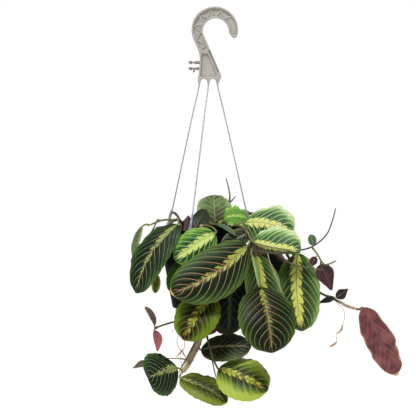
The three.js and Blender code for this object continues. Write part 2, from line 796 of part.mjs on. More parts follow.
    name: "leaf_low_olive", stem: "stem_low", at: 0.97, look: "bright",
    heel: [-51, -76, -525], tip: [16, -98, -557], face: [0.1, -0.5, 0.85],
    width: 46, bow: 6,
  },
  {
    name: "leaf_low_right", stem: "stem_low", branch: 1, at: 1, look: "bright",
    heel: [5, -76, -511], tip: [73, -108, -536], face: [0, -0.75, 0.65],
    width: 72, fold: 6, curl: 28, bow: 6,
  },
  {
    name: "leaf_low_dark", stem: "stem_low", at: 0.76, look: "dark",
    heel: [-21, -56, -487], tip: [51, -76, -479], face: [0, -0.75, 0.65],
    width: 48, bow: 5,
  },
  {
    fused: true, stem: "stem_low", at: 0.93,
    heel: [-100, -46, -507], tip: [-122, -46, -516], face: [0, 0.9, 0.3],
    width: 12, fold: 24, curl: 10, bow: 1, lift: 0.1,
  },

  // Back of the pot
  {
    name: "leaf_back_left_top", stem: "stem_back_left", at: 0.45, look: "bright",
    heel: [-74, 60, -318], tip: [-99, 66, -380], face: [-0.6, 0.7, 0.3],
    width: 50,
  },
  {
    name: "leaf_back_left_middle", stem: "stem_back_left", at: 0.7, look: "dark",
    heel: [-53, 92, -348], tip: [-44, 108, -436], face: [-0.3, 0.9, 0.2],
    width: 48,
  },
  {
    name: "leaf_back_left_low", stem: "stem_back_left", at: 1, look: "dark",
    heel: [-40, 80, -404], tip: [-30, 74, -479], face: [-0.5, 0.8, -0.1],
    width: 44, bow: 6,
  },
  {
    name: "leaf_back_top", stem: "stem_back", at: 0.35, look: "bright",
    heel: [-15, 88, -327], tip: [-50, 116, -376], face: [-0.2, 0.8, 0.6],
    width: 56,
  },
  {
    name: "leaf_back_middle", stem: "stem_back", at: 0.55, look: "dark",
    heel: [2, 104, -320], tip: [-10, 132, -407], face: [0, 0.95, 0.3],
    width: 70,
  },
  {
    name: "leaf_back_low_left", stem: "stem_back", at: 0.8, look: "bright",
    heel: [-2, 98, -419], tip: [-12, 104, -492], face: [-0.2, 0.95, 0.2],
    width: 50,
  },
  {
    name: "leaf_back_low", stem: "stem_back", at: 1, look: "dark",
    heel: [2, 84, -422], tip: [20, 66, -484], face: [0.1, 0.95, 0.1],
    width: 48, bow: 6,
  },
  {
    name: "leaf_back_right_top", stem: "stem_back_right", at: 0.42, look: "bright",
    heel: [66, 66, -314], tip: [104, 72, -355], face: [0.5, 0.6, 0.6],
    width: 54,
  },
  {
    name: "leaf_back_right_middle", stem: "stem_back_right", at: 0.65, look: "dark",
    heel: [70, 94, -336], tip: [89, 116, -414], face: [0.4, 0.9, 0.2],
    width: 66,
  },
  {
    name: "leaf_back_right_low", stem: "stem_back_right", at: 1, look: "bright",
    heel: [68, 76, -414], tip: [79, 52, -473], face: [0.7, 0.6, -0.1],
    width: 46, bow: 6,
  },
].map((leaf) => ({ ...PLAIN_LEAF, ...leaf }));

/** A setting of the blade's left (0) or right (1) half, given once for both or as a pair. */
function ofHalf(setting, half) {
  return THREE.MathUtils.degToRad(Array.isArray(setting) ? setting[half] : setting);
}

/** The half width of a blade at a share of its length: an oval that ends in a short point. */
function halfWidth(leaf, along) {
  const oval = (4 * along * (1 - along)) ** (0.5 + 0.14 * along);
  return Math.max(THREE.MathUtils.lerp(LEAF.heelHalf, LEAF.tipHalf, along), (leaf.width / 2) * oval);
}

/** The blade's own axes, and its midrib as a function of the share of its length. */
function leafFrame(leaf) {
  const heel = new THREE.Vector3(...leaf.heel);
  const chord = new THREE.Vector3(...leaf.tip).sub(heel);
  const axis = chord.clone().normalize();
  const face = new THREE.Vector3(...leaf.face);
  const up = face.addScaledVector(axis, -face.dot(axis)).normalize();
  const side = new THREE.Vector3().crossVectors(up, axis);
  const midrib = (along) => {
    const arch = 4 * along * (1 - along);
    return heel
      .clone()
      .addScaledVector(chord, along)
      .addScaledVector(up, leaf.bow * arch)
      .addScaledVector(side, leaf.sway * arch);
  };
  return { heel, up, side, midrib };
}

/** A point of the blade's middle surface: along runs 0 to 1, across runs -1 to 1. */
function bladePoint(leaf, frame, along, across) {
  const half = across < 0 ? 0 : 1;
  const fold = ofHalf(leaf.fold, half);
  const reach = Math.abs(across) * halfWidth(leaf, along);
  const radius = Math.max(halfWidth(leaf, along) / ofHalf(leaf.curl, half), LEAF.thickness);
  const bend = fold - reach / radius;
  return frame
    .midrib(along)
    .addScaledVector(frame.side, Math.sign(across) * radius * (Math.sin(fold) - Math.sin(bend)))
    .addScaledVector(frame.up, radius * (Math.cos(bend) - Math.cos(fold)));
}

/** The blade as a thin closed shell, its two faces split into triangles alike. */
function bladeSolid(leaf, frame) {
  const [lengthSteps, widthSteps] = leaf.fused ? LEAF.smallSteps : LEAF.steps;
  const positions = [];
  const index = [];
  const nudge = 0.01; // the short way along the blade that gives its slope
  const stride = widthSteps + 1;
  const count = (lengthSteps + 1) * stride;
  [LEAF.thickness / 2, -LEAF.thickness / 2].forEach((offset) => {
    for (let i = 0; i <= lengthSteps; i += 1) {
      const along = (1 - Math.cos((Math.PI * i) / lengthSteps)) / 2;
      for (let j = 0; j <= widthSteps; j += 1) {
        const across = (2 * j) / widthSteps - 1;
        const [a, b] = [Math.max(along - nudge, 0), Math.min(along + nudge, 1)];
        const lengthwise = bladePoint(leaf, frame, b, across).sub(bladePoint(leaf, frame, a, across));
        const sideways = bladePoint(leaf, frame, along, Math.min(across + nudge, 1))
          .sub(bladePoint(leaf, frame, along, Math.max(across - nudge, -1)));
        const normal = lengthwise.cross(sideways).normalize();
        positions.push(...bladePoint(leaf, frame, along, across).addScaledVector(normal, offset).toArray());
      }
    }
  });
  const quad = (a, b, c, d) => index.push(a, b, c, a, c, d);
  for (let i = 0; i < lengthSteps; i += 1) {
    for (let j = 0; j < widthSteps; j += 1) {
      const corner = i * stride + j;
      const [a, b, c, d] = [corner, corner + 1, corner + stride + 1, corner + stride];
      quad(a, b, c, d);
      index.push(a + count, c + count, b + count, a + count, d + count, c + count);
    }
    const left = i * stride;
    const right = left + widthSteps;
    quad(left, left + stride, left + stride + count, left + count);
    quad(right + stride, right, right + count, right + stride + count);
  }
  const tipRow = lengthSteps * stride;
  for (let j = 0; j < widthSteps; j += 1) {
    quad(j + 1, j, j + count, j + 1 + count);
    quad(tipRow + j, tipRow + j + 1, tipRow + j + 1 + count, tipRow + j + count);
  }
  const geometry = new THREE.BufferGeometry();
  geometry.setAttribute("position", new THREE.Float32BufferAttribute(positions, 3));
  geometry.setIndex(index);
  return solid(geometry);
}

/** The leaf stalk: it leaves its stem in a sheath, rises and runs into the blade's heel. */
function stalkSolid(leaf, frame) {
  const root = through(STEMS[leaf.stem][leaf.branch].points).getPointAt(leaf.at);
  const { heel } = frame;
  const span = heel.distanceTo(root);
  const grip = frame.midrib(STALK.grip);
  const rise = root.clone().lerp(heel, STALK.lead);
  rise.z += leaf.lift * span;
  const arrive = heel.clone().addScaledVector(grip.clone().sub(heel).normalize(), -STALK.lead * span);
  const bend = new THREE.CubicBezierCurve3(root, rise, arrive, heel);
  const curve = new THREE.CatmullRomCurve3([...bend.getPoints(4), grip], false, "centripetal");
  const radiusAt = (share) => THREE.MathUtils.lerp(STALK.sheathRadius, STALK.radius, Math.min(1, 2 * share));
  return taperedTube(curve, radiusAt, STALK.sides, STALK.steps);
}

/** A leaf: its blade and stalk in one. */
function leafSolid(leaf) {
  const frame = leafFrame(leaf);
  return stalkSolid(leaf, frame).add(bladeSolid(leaf, frame));
}

// ---- The whole plant ------------------------------------------------------------------------

const plant = new THREE.Group();

const wireCutters = WIRES.map((wire) => wireSolid(wire, CLEARANCE));
place(plant, "hanger_hook", buildHook(wireCutters), LOOKS.hanger);
WIRES.forEach((wire, k) => {
  place(plant, `wire_${wire.side}`, wireSolid(wire, 0), LOOKS.wire);
  place(plant, `clip_${wire.side}`, buildClip(wire, wireCutters[k]), LOOKS.clip);
});
place(plant, "pot", buildPot(), LOOKS.pot);

const stemNames = Object.keys(STEMS);
const stemCutters = Object.fromEntries(stemNames.map((name) => [name, stemSolid(name, CLEARANCE)]));
place(plant, "soil", buildSoil(Object.values(stemCutters)), LOOKS.soil);
stemNames.forEach((name) => {
  const small = LEAVES.filter((leaf) => leaf.fused && leaf.stem === name);
  place(plant, name, join([stemSolid(name, 0), ...small.map(leafSolid)]), LOOKS.stem);
});
LEAVES.filter((leaf) => !leaf.fused).forEach((leaf) => {
  place(plant, leaf.name, biggest(cut(leafSolid(leaf), [stemCutters[leaf.stem]])), LOOKS[leaf.look]);
});

export default plant;
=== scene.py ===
"""A prayer plant that trails from a hanging pot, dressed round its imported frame.

Everything is in metres in the frame's own axes: the origin is the highest point inside the
hanger's hook, +Z is up and -Y is the side that the longest leaves hang on. Sizes in the tables
are in millimetres, as a maker would note them.
"""

import logging
import math
from dataclasses import dataclass
from enum import Enum

import bpy
import numpy as np
from mathutils import Euler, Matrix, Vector


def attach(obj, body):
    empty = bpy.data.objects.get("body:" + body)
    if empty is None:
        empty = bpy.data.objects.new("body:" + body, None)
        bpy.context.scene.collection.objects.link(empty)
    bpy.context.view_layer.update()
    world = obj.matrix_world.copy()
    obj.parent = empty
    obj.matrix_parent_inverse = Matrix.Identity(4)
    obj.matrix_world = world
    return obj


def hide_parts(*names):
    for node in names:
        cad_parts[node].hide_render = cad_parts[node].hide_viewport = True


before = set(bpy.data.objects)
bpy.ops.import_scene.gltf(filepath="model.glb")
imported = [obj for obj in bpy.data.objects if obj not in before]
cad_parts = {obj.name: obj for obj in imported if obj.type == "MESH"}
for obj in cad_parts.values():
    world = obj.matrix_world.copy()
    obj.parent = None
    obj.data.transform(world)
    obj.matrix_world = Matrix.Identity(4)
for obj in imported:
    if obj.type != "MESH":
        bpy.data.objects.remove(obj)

MM = 0.001
ROOT = "root"
SEED = 31
POT_X = -19.0  # the pot's axis
RIM_Z = -312.0  # the top of its rim
HALF_OFFSET = 0.4  # a leaf's right half has its side veins this share of a gap further on

Point = tuple[float, float, float]
Pair = tuple[float, float]
Piece = bpy.types.Object
Material = bpy.types.Material
Socket = bpy.types.NodeSocket
Input = "Value | Socket | float | tuple"

log = logging.getLogger("prayer_plant")


# ---- Small maths ----------------------------------------------------------------------------


def smooth(value: np.ndarray, low: float, high: float) -> np.ndarray:
    """A soft step from 0 at low to 1 at high."""
    share = np.clip((value - low) / (high - low), 0.0, 1.0)
    return share * share * (3.0 - 2.0 * share)


def unit(vector: np.ndarray) -> np.ndarray:
    """The vector, or each row of vectors, at a length of one."""
    return vector / np.linalg.norm(vector, axis=-1, keepdims=True)


def arc(centre: Pair, radius: float, start: float, end: float, steps: int) -> list[Pair]:
    """Points on a circle from the start to the end, in degrees, both included."""
    angles = np.radians(np.linspace(start, end, steps + 1))
    return [(centre[0] + radius * math.cos(a), centre[1] + radius * math.sin(a)) for a in angles]


def bezier(corners: list, steps: int) -> np.ndarray:
    """A Bezier curve of any degree.

    Args:
        corners: Its control points.
        steps: How many steps it is sampled in.

    Returns:
        The points, both ends included.
    """
    levels = np.repeat(np.array(corners, float)[None], steps + 1, axis=0)
    share = np.linspace(0.0, 1.0, steps + 1)[:, None, None]
    while levels.shape[1] > 1:
        levels = levels[:, :-1] * (1.0 - share) + levels[:, 1:] * share
    return levels[:, 0]


def curve(corners: list[Pair], steps: int) -> list[Pair]:
    """The points of a Bezier curve in an outline."""
    return [tuple(point) for point in bezier(corners, steps)]


def rounded(corners: list[Pair], radius: float, steps: int = 5) -> list[Pair]:
    """A closed outline with its corners rounded off.

    Args:
        corners: The outline's corners.
        radius: How far from each corner the rounding starts, at most.
        steps: How many steps each rounding takes.

    Returns:
        The rounded outline.
    """
    outline = []
    ring = [np.array(corner, float) for corner in corners]
    for before, here, after in zip(ring[-1:] + ring[:-1], ring, ring[1:] + ring[:1]):
        back, on = before - here, after - here
        reach = min(radius, 0.45 * np.linalg.norm(back), 0.45 * np.linalg.norm(on))
        ends = [here + unit(back) * reach, here, here + unit(on) * reach]
        outline += curve(ends, steps)
    return outline


class Path:
    """A smooth curve through points, measured along its own length."""

    PER_SPAN = 24

    def __init__(self, points: list[Point]) -> None:
        """Runs a centripetal curve through the points.

        Args:
            points: The points, in millimetres, from the curve's start to its end.
        """
        p = np.array(points, float)
        p = np.vstack([2 * p[0] - p[1], p, 2 * p[-1] - p[-2]])
        rows = []
        for k in range(1, len(p) - 2):
            gaps = [math.sqrt(np.linalg.norm(p[k + i] - p[k + i - 1])) for i in range(3)]
            leave = self._slope(p[k - 1], p[k], p[k + 1], gaps[0], gaps[1]) * gaps[1]
            arrive = self._slope(p[k], p[k + 1], p[k + 2], gaps[1], gaps[2]) * gaps[1]
            t = np.linspace(0.0, 1.0, self.PER_SPAN, endpoint=False)[:, None]
            rows.append(
                (2 * t**3 - 3 * t**2 + 1) * p[k]
                + (t**3 - 2 * t**2 + t) * leave
                + (3 * t**2 - 2 * t**3) * p[k + 1]
                + (t**3 - t**2) * arrive
            )
        self.line = np.vstack([*rows, p[-2:-1]])
        steps = np.linalg.norm(np.diff(self.line, axis=0), axis=1)
        self.reach = np.concatenate([[0.0], np.cumsum(steps)])

    @staticmethod
    def _slope(a: np.ndarray, b: np.ndarray, c: np.ndarray, ab: float, bc: float) -> np.ndarray:
        """The curve's slope at b, between a and c with their knot gaps."""
        return (b - a) / ab - (c - a) / (ab + bc) + (c - b) / bc

    @property
    def length(self) -> float:
        """The curve's length in millimetres."""
        return float(self.reach[-1])

    def at(self, share: float | np.ndarray) -> np.ndarray:
        """The point, or rows of points, at a share of the length."""
        target = np.asarray(share) * self.length
        return np.stack([np.interp(target, self.reach, self.line[:, i]) for i in range(3)], axis=-1)


# ---- The workbench --------------------------------------------------------------------------


class Bench:
    """The modelling moves that the pieces share."""

    @staticmethod
    def pick(*pieces: Piece) -> None:
        """Selects these pieces alone and makes the first one active.

        Args:
            pieces: The pieces, or none to deselect everything.
        """
        bpy.ops.object.select_all(action="DESELECT")
        for piece in pieces:
            piece.select_set(True)
        bpy.context.view_layer.objects.active = pieces[0] if pieces else None

    @staticmethod
    def modify(piece: Piece, kind: str, **settings: object) -> None:
        """Adds a modifier and applies it.

        Args:
            piece: The piece to change.
            kind: The modifier's type.
            settings: Its settings by name.
        """
        Bench.pick(piece)
        modifier = piece.modifiers.new(kind.lower(), kind)
        for name, value in settings.items():
            setattr(modifier, name, value)
        bpy.ops.object.modifier_apply(modifier=modifier.name)

    @staticmethod
    def clean(piece: Piece, weld: float = 1e-6) -> None:
        """Merges a piece's doubled vertices and turns its faces outwards.

        Args:
            piece: The piece to clean.
            weld: How near two vertices lie that become one, in metres.
        """
        Bench.pick(piece)
        bpy.ops.object.mode_set(mode="EDIT")
        bpy.ops.mesh.select_all(action="SELECT")
        bpy.ops.mesh.remove_doubles(threshold=weld)
        bpy.ops.mesh.normals_make_consistent(inside=False)
        bpy.ops.object.mode_set(mode="OBJECT")

    @staticmethod
    def settle(piece: Piece, angle: float = 40.0) -> None:
        """Puts a piece's place into its mesh and shades it smooth.

        Args:
            piece: The piece to settle.
            angle: Edges sharper than this many degrees stay crisp.
        """
        Bench.pick(piece)
        bpy.ops.object.transform_apply(location=True, rotation=True, scale=True)
        bpy.ops.object.shade_smooth_by_angle(angle=math.radians(angle))

    @staticmethod
    def weld(name: str, pieces: list[Piece]) -> Piece:
        """Joins pieces into one object.

        Args:
            name: The joined object's name.
            pieces: The pieces; the first gives the object.

        Returns:
            The joined object.
        """
        Bench.pick(*pieces)
        if len(pieces) > 1:
            bpy.ops.object.join()
        joined = bpy.context.view_layer.objects.active
        joined.name = name
        return joined

    @staticmethod
    def dress(piece: Piece, *coats: Material) -> Piece:
        """Gives a piece its materials, in place of any that it has.

        Args:
            piece: The piece to dress.
            coats: The materials in the order of their slots.

        Returns:
            The same piece.
        """
        piece.data.materials.clear()
        for coat in coats:
            piece.data.materials.append(coat)
        return piece

    @staticmethod
    def tube(name: str, points: np.ndarray, radii: np.ndarray | float, sides: int = 10) -> Piece:
        """A closed round rod along a line of points.

        Args:
            name: The rod's name.
            points: Its centre line, in millimetres.
            radii: Its radius at each point, or all along.
            sides: How many sides it has, an even number.

        Returns:
            The rod as a mesh.
        """
        Bench.pick()
        bpy.ops.curve.primitive_bezier_curve_add()
        rod = bpy.context.object
        line = rod.data
        line.splines.clear()
        spline = line.splines.new("POLY")
        spline.points.add(len(points) - 1)
        spots = np.column_stack([np.asarray(points) * MM, np.ones(len(points))])
        spline.points.foreach_set("co", spots.ravel())
        spline.points.foreach_set("radius", np.broadcast_to(np.asarray(radii, float), len(points)))
        line.dimensions = "3D"
        line.twist_mode = "MINIMUM"
        line.fill_mode = "FULL"
        line.bevel_depth = MM
        line.bevel_resolution = (sides - 4) // 2
        line.use_fill_caps = True
        bpy.ops.object.convert(target="MESH")
        rod.name = name
        Bench.clean(rod)
        return rod

    @staticmethod
    def plate(name: str, outlines: list[list[Pair]], thickness: float, bevel: float) -> Piece:
        """A flat plate in X and Z, centred on the plane Y = 0.

        Args:
            name: The plate's name.
            outlines: Its outer outline, then its holes, in millimetres.
            thickness: Its thickness along Y, in millimetres.
            bevel: The rounding of its edges, in millimetres.

        Returns:
            The plate as a mesh.
        """
        Bench.pick()
        bpy.ops.curve.primitive_bezier_circle_add()
        sheet = bpy.context.object
        shape = sheet.data
        shape.dimensions = "2D"
        shape.fill_mode = "BOTH"
        shape.splines.clear()
        for outline in outlines:
            spline = shape.splines.new("POLY")
            spline.points.add(len(outline) - 1)
            for spot, (x, z) in zip(spline.points, outline):
                spot.co = (x * MM, z * MM, 0.0, 1.0)
            spline.use_cyclic_u = True
        shape.extrude = (thickness / 2 - bevel) * MM
        shape.bevel_depth = bevel * MM
        shape.bevel_resolution = 2
        shape.offset = -bevel * MM
        bpy.ops.object.convert(target="MESH")
        sheet.name = name
        sheet.rotation_euler = Euler((math.pi / 2, 0.0, 0.0))
        Bench.clean(sheet)
        Bench.settle(sheet)
        return sheet

    @staticmethod
    def lathe(name: str, profile: list[Pair], centre: Point, steps: int) -> Piece:
        """A profile spun once round an upright axis.

        Args:
            name: The turned piece's name.
            profile: Its radius and height at each point, in millimetres.
            centre: The foot of the axis, in millimetres.
            steps: How many steps a turn takes.

        Returns:
            The turned piece as a closed mesh.
        """
        Bench.pick()
        bpy.ops.curve.primitive_bezier_curve_add()
        piece = bpy.context.object
        piece.data.splines.clear()
        spline = piece.data.splines.new("POLY")
        spline.points.add(len(profile) - 1)
        for spot, (radius, height) in zip(spline.points, profile):
            spot.co = (radius * MM, 0.0, height * MM, 1.0)
        bpy.ops.object.convert(target="MESH")
        piece.name = name
        Bench.pick(piece)
        bpy.ops.object.mode_set(mode="EDIT")
        bpy.ops.mesh.select_all(action="SELECT")
        bpy.ops.mesh.spin(steps=steps, angle=2 * math.pi, center=(0, 0, 0), axis=(0, 0, 1))
        bpy.ops.object.mode_set(mode="OBJECT")
        Bench.clean(piece, 1e-5)
        piece.location = Vector(centre) * MM
        Bench.settle(piece)
        return piece

    @staticmethod
    def cylinder(radius: float, depth: float, centre: Point, sides: int = 32) -> Piece:
        """A plain upright cylinder to join or cut with.

        Args:
            radius: Its radius, in millimetres.
            depth: Its height, in millimetres.
            centre: Its middle, in millimetres.
            sides: How many sides it has.

        Returns:
            The cylinder.
        """
        Bench.pick()
        bpy.ops.mesh.primitive_cylinder_add(
            vertices=sides, radius=radius * MM, depth=depth * MM, location=Vector(centre) * MM
        )
        piece = bpy.context.object
        Bench.settle(piece)
        return piece

    @staticmethod
    def combine(piece: Piece, tools: list[Piece], operation: str) -> None:
        """Joins tools to a piece or cuts them out of it, and clears them away.

        Args:
            piece: The piece to change.
            tools: The solids to join or cut with.
            operation: UNION or DIFFERENCE.
        """
        for tool in tools:
            Bench.modify(piece, "BOOLEAN", operation=operation, object=tool, solver="EXACT")
            bpy.data.objects.remove(tool)

    @staticmethod
    def hand_over(piece: Piece, slot: str, *nodes: str) -> Piece:
        """Lets a finished piece ride on the plant and stand for its nodes.

        Args:
            piece: The finished piece.
            slot: The record's material slot that its finish comes from; not used.
            nodes: The frame's nodes that it stands for.

        Returns:
            The same piece.
        """
        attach(piece, ROOT)
        if nodes:
            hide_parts(*nodes)
        log.info("%s: %d faces", piece.name, len(piece.data.polygons))
        return piece


# ---- Paint ----------------------------------------------------------------------------------


def colour(code: str) -> tuple[float, float, float, float]:
    """The shader's colour for a hex code.

    Args:
        code: Six digits, two each for red, green and blue.

    Returns:
        The linear colour with an alpha of 1.
    """
    parts = [int(code[k : k + 2], 16) / 255 for k in (0, 2, 4)]
    linear = [c / 12.92 if c <= 0.04045 else ((c + 0.055) / 1.055) ** 2.4 for c in parts]
    return (*linear, 1.0)


class Value:
    """A number that varies over a surface. Python's operators on it add Math nodes."""

    def __init__(self, paint: "Paint", socket: Socket) -> None:
        """Wraps an output socket of the paint's nodes."""
        self.paint = paint
        self.socket = socket

    def __add__(self, other: Input) -> "Value":
        """This plus the other."""
        return self.paint.math("ADD", self, other)

    __radd__ = __add__

    def __sub__(self, other: Input) -> "Value":
        """This less the other."""
        return self.paint.math("SUBTRACT", self, other)

    def __rsub__(self, other: Input) -> "Value":
        """The other less this."""
        return self.paint.math("SUBTRACT", other, self)

    def __mul__(self, other: Input) -> "Value":
        """This times the other."""
        return self.paint.math("MULTIPLY", self, other)

    __rmul__ = __mul__

    def __truediv__(self, other: Input) -> "Value":
        """This over the other."""
        return self.paint.math("DIVIDE", self, other)

    def __pow__(self, other: Input) -> "Value":
        """This to the power of the other."""
        return self.paint.math("POWER", self, other)

    def __abs__(self) -> "Value":
        """The size of this without its sign."""
        return self.paint.math("ABSOLUTE", self)

    def fraction(self) -> "Value":
        """What is left of this above its whole part."""
        return self.paint.math("FRACT", self)

    def above(self, limit: float) -> "Value":
        """1 where this is over the limit, else 0."""
        return self.paint.math("GREATER_THAN", self, limit)

    def step(self, low: float, high: float, start: float = 0.0, end: float = 1.0) -> "Value":
        """A soft step over this value.

        Args:
            low: Where the step starts.
            high: Where it ends.
            start: The result below the step.
            end: The result above it.

        Returns:
            The stepped value.
        """
        inputs = {"Value": self, "From Min": low, "From Max": high, "To Min": start, "To Max": end}
        soft = {"interpolation_type": "SMOOTHSTEP"}
        node = self.paint.node("ShaderNodeMapRange", soft, inputs)
        return Value(self.paint, node.outputs["Result"])


class Paint:
    """A material or a world under construction."""

    def __init__(self, owner: Material | bpy.types.World) -> None:
        """Starts it without any node.

        Args:
            owner: The material or world to paint.
        """
        owner.use_nodes = True
        self.owner = owner
        self.tree = owner.node_tree
        self.tree.nodes.clear()

    def node(self, kind: str, settings: dict, sockets: dict) -> bpy.types.Node:
        """Adds a node.

        Args:
            kind: The node's type.
            settings: Its settings, which are set first.
            sockets: What goes into its inputs, by name or number.

        Returns:
            The node.
        """
        node = self.tree.nodes.new(kind)
        for name, value in settings.items():
            setattr(node, name, value)
        for key, value in sockets.items():
            source = value.socket if isinstance(value, Value) else value
            if isinstance(source, Socket):
                self.tree.links.new(source, node.inputs[key])
            else:
                node.inputs[key].default_value = source
        return node

    def math(self, operation: str, *values: Input) -> Value:
        """The result of a Math node on the values."""
        node = self.node("ShaderNodeMath", {"operation": operation}, dict(enumerate(values)))
        return Value(self, node.outputs[0])

    def mix(self, share: Input, low: object, high: object) -> Socket:
        """A colour between two others.

        Args:
            share: 0 for the first colour, 1 for the second.
            low: The first colour, as a hex code or a socket.
            high: The second colour, as a hex code or a socket.

        Returns:
            The mixed colour's socket.
        """
        ends = [colour(end) if isinstance(end, str) else end for end in (low, high)]
        kind = {"data_type": "RGBA", "clamp_factor": True}
        node = self.node("ShaderNodeMix", kind, {0: share, 6: ends[0], 7: ends[1]})
        return node.outputs[2]

    def layer(self, name: str) -> tuple[Value, Value]:
        """The two numbers that a piece's UV layer holds.

        Args:
            name: The layer's name.

        Returns:
            Both numbers.
        """
        layer = self.node("ShaderNodeUVMap", {"uv_map": name}, {})
        parts = self.node("ShaderNodeSeparateXYZ", {}, {0: layer.outputs[0]})
        return Value(self, parts.outputs[0]), Value(self, parts.outputs[1])

    def place(self, stretch: Point = (1.0, 1.0, 1.0)) -> Socket:
        """The place in the object's own coordinates.

        Args:
            stretch: What each axis is multiplied by.

        Returns:
            The place's socket.
        """
        spot = self.node("ShaderNodeTexCoord", {}, {})
        inputs = {"Vector": spot.outputs["Object"], "Scale": stretch}
        return self.node("ShaderNodeMapping", {}, inputs).outputs[0]

    def vector(self, x: Input, y: Input, z: Input = 0.0) -> Socket:
        """A vector of three numbers."""
        return self.node("ShaderNodeCombineXYZ", {}, {0: x, 1: y, 2: z}).outputs[0]

    def noise(self, where: Socket, scale: float, detail: float = 3.0, rough: float = 0.55) -> Value:
        """Cloudy noise from about 0 to 1; scale is how many clouds fit in a unit."""
        inputs = {"Vector": where, "Scale": scale, "Detail": detail, "Roughness": rough}
        return Value(self, self.node("ShaderNodeTexNoise", {}, inputs).outputs[0])

    def cells(self, where: Socket, scale: float) -> Value:
        """The distance to the nearest of many scattered points."""
        node = self.node("ShaderNodeTexVoronoi", {}, {"Vector": where, "Scale": scale})
        return Value(self, node.outputs["Distance"])

    def relief(self, height: Value, depth: float, strength: float = 1.0) -> Socket:
        """A bumped normal; depth is what a height of 1 stands for, in metres."""
        inputs = {"Strength": strength, "Distance": depth, "Height": height}
        return self.node("ShaderNodeBump", {}, inputs).outputs[0]

    def done(self, **sockets: object) -> Material:
        """Closes the material with its shader.

        Args:
            sockets: The shader's inputs, with _ for each space in their names.

        Returns:
            The material.
        """
        named = {name.replace("_", " "): value for name, value in sockets.items()}
        shader = self.node("ShaderNodeBsdfPrincipled", {}, named)
        self.node("ShaderNodeOutputMaterial", {}, {"Surface": shader.outputs[0]})
        return self.owner


class BladePaint(Paint):
    """A leaf's paint, with the places on its blade that the pattern follows."""

    def __init__(self, owner: Material) -> None:
        """Reads the blade's UV layers.

        Args:
            owner: The material to paint.
        """
        super().__init__(owner)
        self.along, across = self.layer("blade")
        phase, self.wear = self.layer("pattern")
        self.lean = across * 2.0 - 1.0
        self.reach = abs(self.lean)
        self.phase = phase + self.lean.above(0.0) * HALF_OFFSET
        self.tooth = self.phase.fraction()
        self.near = 0.5 - abs(self.tooth - 0.5)
        self.fine = self.noise(self.place(), 900.0, 2.0)

    def dryness(self, cloud: Value) -> Value:
        """Where the blade is dry, with a ragged edge that follows the clouds."""
        return (self.wear + (cloud - 0.5) * 0.5 + (self.fine - 0.5) * 0.3).step(0.45, 0.62)


# ---- Finishes -------------------------------------------------------------------------------


